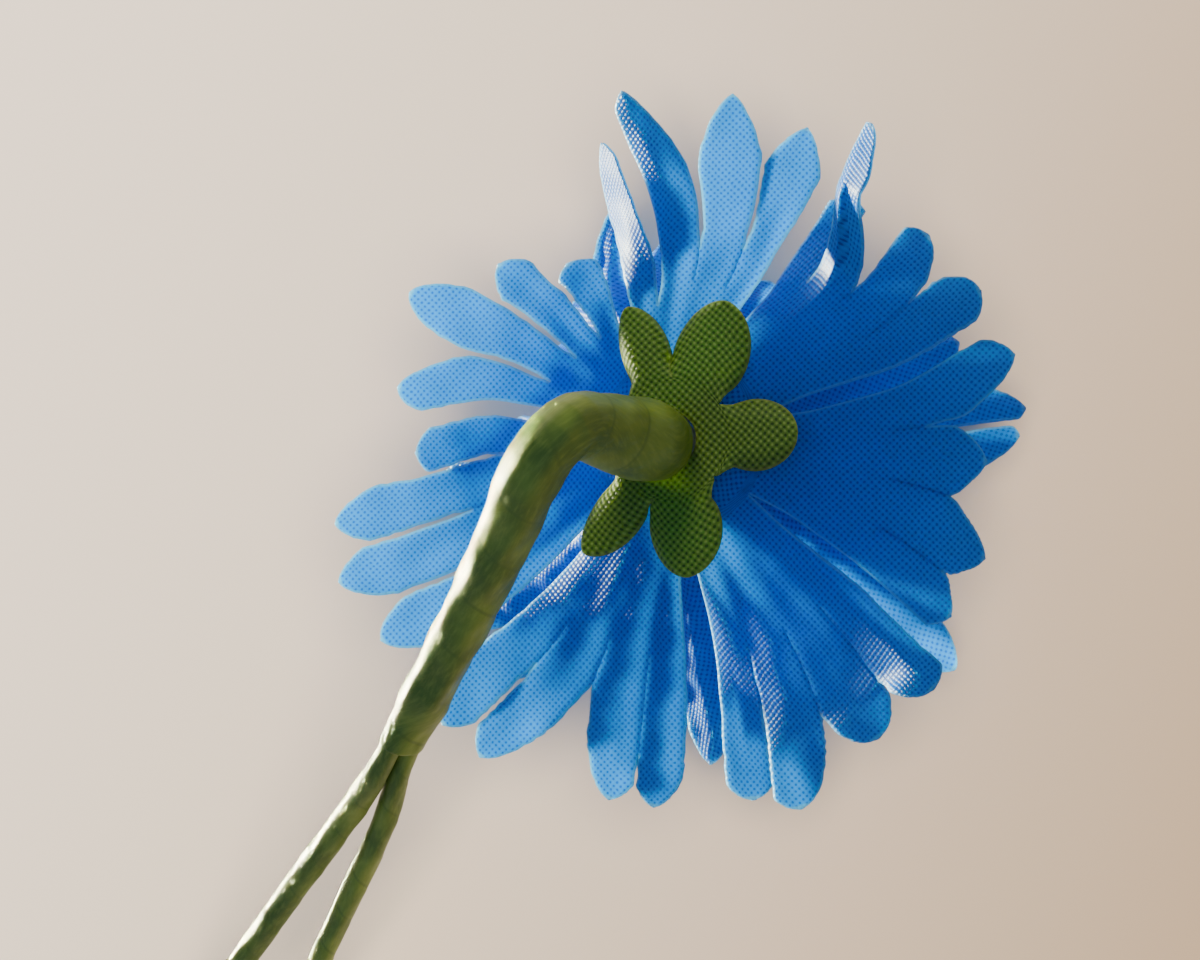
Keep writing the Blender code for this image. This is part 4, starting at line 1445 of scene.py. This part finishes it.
@dataclass
class Stem:
    """The tape round both wires, the two taped legs and the wires' cut ends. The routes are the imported
    model's own, round the bloom's axis. A leg starts tucked into the stem and runs straight at first."""

    route: tuple = (
        (-0.7, 0.5, 18.6),
        (-0.7, 0.5, 19.4),
        (-1.0, 1.1, 22.0),
        (-1.2, 1.8, 25.2),
        (-1.3, 2.3, 28.2),
        (-2.0, 2.4, 30.2),
        (-3.8, 2.4, 31.3),
        (-6.0, 2.4, 31.0),
        (-9.8, 2.3, 29.1),
        (-15.6, 2.4, 26.5),
        (-22.6, 2.6, 23.4),
        (-29.3, 2.8, 20.5),
    )
    radii: tuple = (
        (0.0, 2.7), (2.0, 3.05), (5.0, 2.8), (10.0, 2.3), (16.0, 2.15), (22.0, 2.05), (26.0, 1.95),
        (36.0, 1.75), (44.0, 1.65),
    )
    mouth: tuple = (1.85, 1.25)
    fork_length: float = 6.0
    fork_offset: float = 0.9
    split_tilt: float = 25.0
    leg_a: tuple = ((-36.8, 4.3, 17.1), (-44.3, 5.8, 13.6), (-52.7, 7.3, 9.9), (-61.3, 8.8, 6.2),
                    (-68.8, 10.1, 3.1), (-73.3, 10.9, 0.95))
    leg_b: tuple = ((-36.0, 2.1, 15.9), (-42.3, 2.3, 12.6), (-49.0, 2.5, 9.3), (-56.0, 2.5, 5.9),
                    (-62.0, 2.4, 3.1), (-66.0, 2.3, 0.836))
    leg_radii: tuple = (1.0, 0.88)
    leg_start_radius: float = 0.78
    leg_grows: tuple = (2.0, 8.0)
    tucked: float = 2.0
    straight: float = 2.3
    spacings: tuple = (1.0, 1.5)
    stem_winding: Winding = Winding(rows=420, sides=64, pitch=4.4, lap=0.04, crease=0.6)
    leg_winding: Winding = Winding(rows=440, sides=36, pitch=3.8, lap=0.05, crease=0.22)
    wire_winding: Winding = Winding(rows=160, sides=20, pitch=1000.0, lap=0.0, crease=0.0)
    crease_seed: float = 4.0
    wall: float = 0.3
    wire_radius: float = 0.4
    wire_shows: float = 0.5

    def line(self, name: str, route: np.ndarray, wide: np.ndarray, deep: np.ndarray) -> Mesh:
        """The mesh of edges that the winding tree follows.

        Args:
            name: The mesh's name.
            route: The middle line.
            wide: The vector to the skin along the split, at each point.
            deep: The same across it.

        Returns:
            The mesh, in metres.
        """
        mesh = new_mesh(name, route, [(k, k + 1) for k in range(len(route) - 1)], [])
        for label, vectors in (("wide", wide), ("deep", deep)):
            held = mesh.attributes.new(label, "FLOAT_VECTOR", "POINT")
            held.data.foreach_set("vector", (vectors * MM).astype(np.float32).ravel())
        return mesh

    def wind(self, name: str, tree: NodeTree, finish: Material, route: np.ndarray, sizes: tuple,
             winding: Winding) -> Object:
        """Sweeps one piece along a route.

        Args:
            name: The piece's name.
            tree: The winding tree.
            finish: Its material.
            route: Its middle line.
            sizes: Its half width along the split and across it, at each point.
            winding: How it is wound.

        Returns:
            The piece, still an open skin.
        """
        along, across = split_axes(route, self.split_tilt)
        mesh = self.line(name, route, along * sizes[0][:, None], across * sizes[1][:, None])
        return grow(name, mesh, tree, {"Finish": finish, "Seed": self.crease_seed, **winding.inputs()})

    def build(self, tape: Material, wire: Material) -> list:
        """Makes the stem, its legs and the wires' ends.

        Args:
            tape: The tape's material.
            wire: The wire's material.

        Returns:
            The pieces.
        """
        tree = wound_tree()
        route = smooth_route(self.route, self.spacings[0])
        lengths = lengths_along(route)
        to_mouth = ease(lengths, lengths[-1] - self.fork_length, lengths[-1])
        plain = np.interp(lengths, *zip(*self.radii))
        sizes = (mix(plain, self.mouth[0], to_mouth), mix(plain, self.mouth[1], to_mouth))
        stem = self.wind("stem_tape_wound", tree, tape, route, sizes, self.stem_winding)
        made = [self.finish_skin(stem, "stem_tape")]
        split = split_axes(route, self.split_tilt)[0][-1]
        ahead = unit(route[-1] - route[-2])
        for letter, sign, points, radius in (("a", 1, self.leg_a, self.leg_radii[0]),
                                             ("b", -1, self.leg_b, self.leg_radii[1])):
            start = route[-1] + sign * self.fork_offset * split
            first = (start - ahead * self.tucked, start + ahead * self.straight)
            leg = smooth_route((*first, *points), self.spacings[1])
            grown = mix(self.leg_start_radius, radius, ease(lengths_along(leg), *self.leg_grows))
            piece = self.wind(f"leg_tape_{letter}_wound", tree, tape, leg, (grown, grown),
                              self.leg_winding)
            made.append(self.finish_skin(piece, f"leg_tape_{letter}"))
            inside = np.vstack([leg[1:], [leg[-1] + unit(leg[-1] - leg[-2]) * self.wire_shows]])
            width = np.full(len(inside), self.wire_radius)
            core = self.wind(f"wire_{letter}_drawn", tree, wire, inside, (width, width),
                             self.wire_winding)
            mend(core.data, fill=True)
            made.append(seat(core, Slot.WIRE, f"wire_{letter}"))
        return made

    def finish_skin(self, piece: Object, node: str) -> Object:
        """Gives a tape's skin its wall, on the inner side, and seats it.

        Args:
            piece: The skin.
            node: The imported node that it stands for.

        Returns:
            The same piece.
        """
        mend(piece.data)
        thicken(piece, self.wall, -1)
        return seat(piece, Slot.TAPE, node)


# Stamens


GOLDEN_ANGLE = math.radians(137.508)

# Along a thread, as shares of its length: where its head starts, and where the stalk inside the head comes
# down to a fine point, this thick. Threads lean by these shares of their own angle, drawn one by one, and
# waver this deep, in millimetres, at this pace from root to head.
HEAD_STARTS = 0.86
STALK_ENDS = 0.93
STALK_POINT = 0.03
SWAY = (0.75, 1.15)
WAVER_DEPTH = 0.12
WAVER_PACE = 9.0
THREAD_STEPS = 26
THREAD_SIDES = 8


def tuft_tree() -> NodeTree:
    """The tree that plants headed threads in a round tuft, pointing down and a little out.

    Returns:
        The tree.
    """
    tree, given = new_tree("stamen tuft", {
        "Threads": "Int", "Root Radius": "Float", "Lean": "Float", "Length": "Float",
        "Thread Radius": "Float", "Head Radius": "Float", "Seed": "Int",
    })
    number = add_node(tree, "GeometryNodeInputIndex")
    level = maths(tree, "DIVIDE", maths(tree, "ADD", number, 0.5), given["Threads"])
    out = maths(tree, "SQRT", level)
    turn = maths(tree, "MULTIPLY", number, GOLDEN_ANGLE)
    around = add_node(tree, "ShaderNodeCombineXYZ",
                      {0: maths(tree, "COSINE", turn), 1: maths(tree, "SINE", turn)})
    roots = scaled(tree, around, maths(tree, "MULTIPLY", out, given["Root Radius"]))
    middle = add_node(tree, "GeometryNodeSampleIndex",
                      {"Geometry": given["Geometry"], "Value": add_node(tree, "GeometryNodeInputPosition")},
                      data_type="FLOAT_VECTOR")
    dots = add_node(tree, "GeometryNodePoints",
                    {"Count": given["Threads"], "Position": vectors(tree, "ADD", roots, middle)})
    sway = add_node(tree, "FunctionNodeRandomValue", {2: SWAY[0], 3: SWAY[1], "Seed": given["Seed"]},
                    data_type="FLOAT").outputs[1]
    lean = maths(tree, "MULTIPLY", maths(tree, "MULTIPLY", out, given["Lean"]), sway)
    fall = maths(tree, "MULTIPLY", maths(tree, "COSINE", lean), -1.0)
    down = add_node(tree, "ShaderNodeCombineXYZ", {2: fall})
    ahead = vectors(tree, "ADD", scaled(tree, around, maths(tree, "SINE", lean)), down)
    facing = add_node(tree, "FunctionNodeAlignRotationToVector", {"Vector": ahead}, axis="Z")
    line = add_node(tree, "GeometryNodeCurvePrimitiveLine", {"Start": (0, 0, 0), "End": (0, 0, 1)})
    fine = add_node(tree, "GeometryNodeResampleCurve", {"Curve": line, "Count": THREAD_STEPS})
    share = add_node(tree, "GeometryNodeSplineParameter")
    bend = maths(tree, "SINE", maths(tree, "MULTIPLY", share, WAVER_PACE))
    offset = add_node(tree, "ShaderNodeCombineXYZ", {0: maths(tree, "MULTIPLY", bend, WAVER_DEPTH * MM)})
    wavy = add_node(tree, "GeometryNodeSetPosition", {"Geometry": fine, "Offset": offset})
    from_head = ramp(tree, share, HEAD_STARTS, 1.0, -1.0, 1.0)
    left = maths(tree, "SUBTRACT", 1.0, maths(tree, "POWER", from_head, 2.0), use_clamp=True)
    head = maths(tree, "MULTIPLY", maths(tree, "SQRT", left), given["Head Radius"])
    is_head = maths(tree, "GREATER_THAN", share, STALK_ENDS)
    stalk = add_node(tree, "ShaderNodeMix",
                     {0: is_head, 2: given["Thread Radius"], 3: STALK_POINT * MM}, data_type="FLOAT")
    circle = add_node(tree, "GeometryNodeCurvePrimitiveCircle",
                      {"Resolution": THREAD_SIDES, "Radius": 1.0})
    noted = store(tree, wavy, "along", share, data_type="FLOAT", domain="POINT")
    thread = add_node(tree, "GeometryNodeCurveToMesh", {
        "Curve": noted, "Profile Curve": circle, "Scale": maths(tree, "MAXIMUM", head, stalk),
        "Fill Caps": True,
    })
    stretch = add_node(tree, "ShaderNodeCombineXYZ", {0: 1.0, 1: 1.0, 2: given["Length"]})
    planted = add_node(tree, "GeometryNodeInstanceOnPoints",
                       {"Points": dots, "Instance": thread, "Rotation": facing, "Scale": stretch})
    return end_tree(tree, planted, given["Finish"])


@dataclass
class StamenTuft:
    """The tuft in the middle of the face: headed threads that stand out of one small core."""

    node: str = "stamens"
    threads: int = 46
    seed: int = 5
    root_depth: float = 1.2
    root_radius: float = 1.75
    lean: float = 17.0
    length: float = 9.2
    thread_radius: float = 0.14
    head_radius: float = 0.42
    core_radius: float = 2.2
    core_length: float = 4.5
    core_steps: int = 40
    core_sides: int = 48
    shoulder: float = 0.45
    ridges: int = 9
    ridge_height: float = 0.07

    def build(self, finish: Material) -> list:
        """Makes the threads and the core that holds them.

        Args:
            finish: The thread's material.

        Returns:
            The pieces.
        """
        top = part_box(self.node)[1].z / MM
        spot = new_mesh("tuft_root", [(0, 0, top - self.root_depth)], [], [])
        threads = grow("stamen_threads", spot, tuft_tree(), {
            "Threads": self.threads, "Root Radius": self.root_radius * MM, "Lean": math.radians(self.lean),
            "Length": self.length * MM, "Thread Radius": self.thread_radius * MM,
            "Head Radius": self.head_radius * MM, "Seed": self.seed, "Finish": finish,
        })
        return [seat(piece, Slot.STAMEN, self.node) for piece in (threads, self.core(finish, top))]

    def core(self, finish: Material, top: float) -> Object:
        """The bound core, turned about the axis, with the ridges of the thread that binds it.

        Args:
            finish: The thread's material.
            top: The height of its upper end.

        Returns:
            The piece.
        """
        points, rows = [(0, 0, top)], [[0]]
        steps, sides = self.core_steps, self.core_sides
        for step in range(steps + 1):
            share = step / steps
            bulge = math.sqrt(max(0.0, 1 - (max(0.0, share - self.shoulder) / (1 - self.shoulder)) ** 2))
            ridge = self.ridge_height * abs(math.sin(share * math.pi * self.ridges))
            radius = (self.core_radius - ridge) * bulge
            height = top - share * self.core_length
            turns = [2 * math.pi * k / sides for k in range(sides if step < steps else 1)]
            rows.append([len(points) + k for k in range(len(turns))])
            points += [(radius * math.cos(turn), radius * math.sin(turn), height) for turn in turns]
        faces = []
        for low, high in zip(rows, rows[1:]):
            for k in range(sides):
                after = (k + 1) % sides
                corners = dict.fromkeys((low[k % len(low)], low[after % len(low)],
                                         high[after % len(high)], high[k % len(high)]))
                faces.append(tuple(corners))
        mesh = new_mesh("stamen_core", points, [], faces)
        mend(mesh)
        mesh.materials.append(finish)
        mesh.shade_smooth()
        return add_object("stamen_core", mesh)


# Studio


@dataclass
class Studio:
    """A pale floor, soft lights and the camera, which looks down on the flower where it lies. A warm key
    light comes from beyond the flower, a little below it, and shines through its cloth; the floor casts
    no shadow in it. A wash lights the floor alone, as flags would part the two in a studio. The greens
    have a soft light of their own each, and the sky is a cool, even one."""

    camera_azimuth: float = 27.2
    camera_elevation: float = 67.96
    camera_roll: float = -80.79
    camera_distance: float = 280.0
    lens: float = 117.6
    off_centre: tuple = (5.0, 2.93)
    key: tuple = (122.0, -13.0, 48.0, 5.0)
    rim: tuple = (122.0, -9.0, 22.0, 5.0)
    fill: tuple = (40.0, 42.0, 1.6, 20.0)
    crown: tuple = (62.0, 16.0, 1.7, 20.0)
    wash: tuple = (-62.8, 68.0, 7.0, 40.0)
    warm: str = "#fff6c8"
    wash_tint: str = "#ffe9c8"
    sky: str = "#aacbff"
    sky_strength: float = 0.52
    # The floor's tones at either end of its painted falloff of light.
    floor_shaded_end: str = "#a08a6e"
    floor_lit_end: str = "#f8f0e4"
    floor_fade: tuple = (-0.25, 0.97, 0.0)
    fade_reach: float = 0.09
    floor_half: float = 3.0

    def floor(self) -> Object:
        """Makes the floor: matt paper, large enough to fill every view, its tone painted darker towards one
        side as a painted falloff of the light.

        Returns:
            The floor.
        """
        mesh = bpy.data.meshes.new("floor")
        half = self.floor_half
        corners = [(-half, -half, 0), (half, -half, 0), (half, half, 0), (-half, half, 0)]
        mesh.from_pydata(corners, [], [(0, 1, 2, 3)])
        paper, tree = new_material("floor paper, matt")
        # A painted falloff of light: the floor darkens from floor_lit_end to floor_shaded_end across
        # floor_fade.
        across = vectors(tree, "DOT_PRODUCT", object_place(tree), self.floor_fade).outputs["Value"]
        fade = ramp(tree, across, -self.fade_reach, self.fade_reach, smooth=True)
        tone = blend(tree, fade, self.floor_shaded_end, self.floor_lit_end)
        add_surface(tree, {"Base Color": tone, "Roughness": 0.95, "Specular IOR Level": 0.1})
        mesh.materials.append(paper)
        made = add_object("floor", mesh)
        return made

    def flags(self, name: str, pieces: tuple, state: str) -> Collection:
        """Makes the collection that tells a light which pieces it is for, or which it passes by.

        Args:
            name: The collection's name.
            pieces: The pieces.
            state: INCLUDE for the pieces alone, EXCLUDE for all but them.

        Returns:
            The collection.
        """
        made = bpy.data.collections.new(name)
        for piece in pieces:
            made.objects.link(piece)
        for held in made.collection_objects:
            held.light_linking.link_state = state
        return made

    def sun(self, name: str, place: tuple, tint: str, pieces: tuple, state: str,
            passes: tuple = ()) -> None:
        """Adds a distant soft light that falls on some pieces alone, or on all but them.

        Args:
            name: The light's name.
            place: Its azimuth from +X and elevation, its strength, and how wide it looks, in degrees.
            tint: Its colour.
            pieces: The pieces.
            state: INCLUDE for the pieces alone, EXCLUDE for all but them.
            passes: The pieces that cast no shadow in it.
        """
        azimuth, elevation, strength, width = place
        lamp = bpy.data.lights.new(name, "SUN")
        lamp.energy = strength
        lamp.angle = math.radians(width)
        lamp.color = linear(tint)[:3]
        made = add_object(name, lamp)
        turn, rise = math.radians(azimuth), math.radians(elevation)
        away = Vector((math.cos(turn) * math.cos(rise), math.sin(turn) * math.cos(rise), math.sin(rise)))
        made.rotation_euler = away.to_track_quat("Z", "Y").to_euler()
        made.light_linking.receiver_collection = self.flags(f"{name} falls on", pieces, state)
        if passes:
            made.light_linking.blocker_collection = self.flags(f"{name} passes", passes, "EXCLUDE")

    def build(self, calyx: Object, stem: list) -> None:
        """Makes the floor, the lights and the camera.

        Args:
            calyx: The calyx, which the stem's bend keeps out of the key light.
            stem: The stem's pieces.
        """
        floor = self.floor()
        self.sun("key", self.key, self.warm, (floor, calyx), "EXCLUDE", (floor,))
        self.sun("rim", self.rim, self.warm, (calyx,), "INCLUDE", (floor,))
        self.sun("fill", self.fill, self.warm, (calyx,), "INCLUDE")
        self.sun("crown", self.crown, self.warm, tuple(stem), "INCLUDE")
        self.sun("wash", self.wash, self.wash_tint, (floor,), "INCLUDE")
        world = bpy.data.worlds.new("studio")
        world.use_nodes = True
        glow = world.node_tree.nodes["Background"].inputs
        glow["Color"].default_value = linear(self.sky)
        glow["Strength"].default_value = self.sky_strength
        bpy.context.scene.world = world
        turn, rise, roll = map(math.radians, (self.camera_azimuth, self.camera_elevation, self.camera_roll))
        back = Vector((math.sin(turn) * math.cos(rise), -math.cos(turn) * math.cos(rise), math.sin(rise)))
        level = Vector((math.cos(turn), math.sin(turn), 0))
        right = level * math.cos(roll) + back.cross(level) * math.sin(roll)
        up = back.cross(right)
        target = Vector((AXIS.x, AXIS.y, PEG_TOP)) * MM
        aim = target - (right * self.off_centre[0] + up * self.off_centre[1]) * MM
        camera = add_object("camera", bpy.data.cameras.new("camera"))
        camera.data.lens = self.lens
        camera.data.clip_start = 0.01
        camera.location = aim + back * self.camera_distance * MM
        camera.rotation_euler = Matrix((right, up, back)).transposed().to_euler()
        bpy.context.scene.camera = camera


def main() -> None:
    """Builds the looks in order: cloth, tuft, stem, peg and studio."""
    logging.basicConfig(level=logging.INFO, format="%(name)s: %(message)s")
    blue, green = PETAL_SATIN.make(), CALYX_SATIN.make()
    for layer, under in zip(petal_layers(), ("petals_middle", "petals_inner", "hub")):
        layer.build(blue, under)
    calyx = Calyx().build(green)
    StamenTuft().build(DippedThread().make())
    stem = Stem().build(CrepeTape().make(), STEM_WIRE.make())
    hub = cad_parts["hub"]
    hub.data.materials.clear()
    hub.data.materials.append(PEG_NYLON.make())
    log.info("hub: the packed peg, in moulded nylon")
    Studio().build(calyx, stem)


if __name__ == "__main__":
    main()
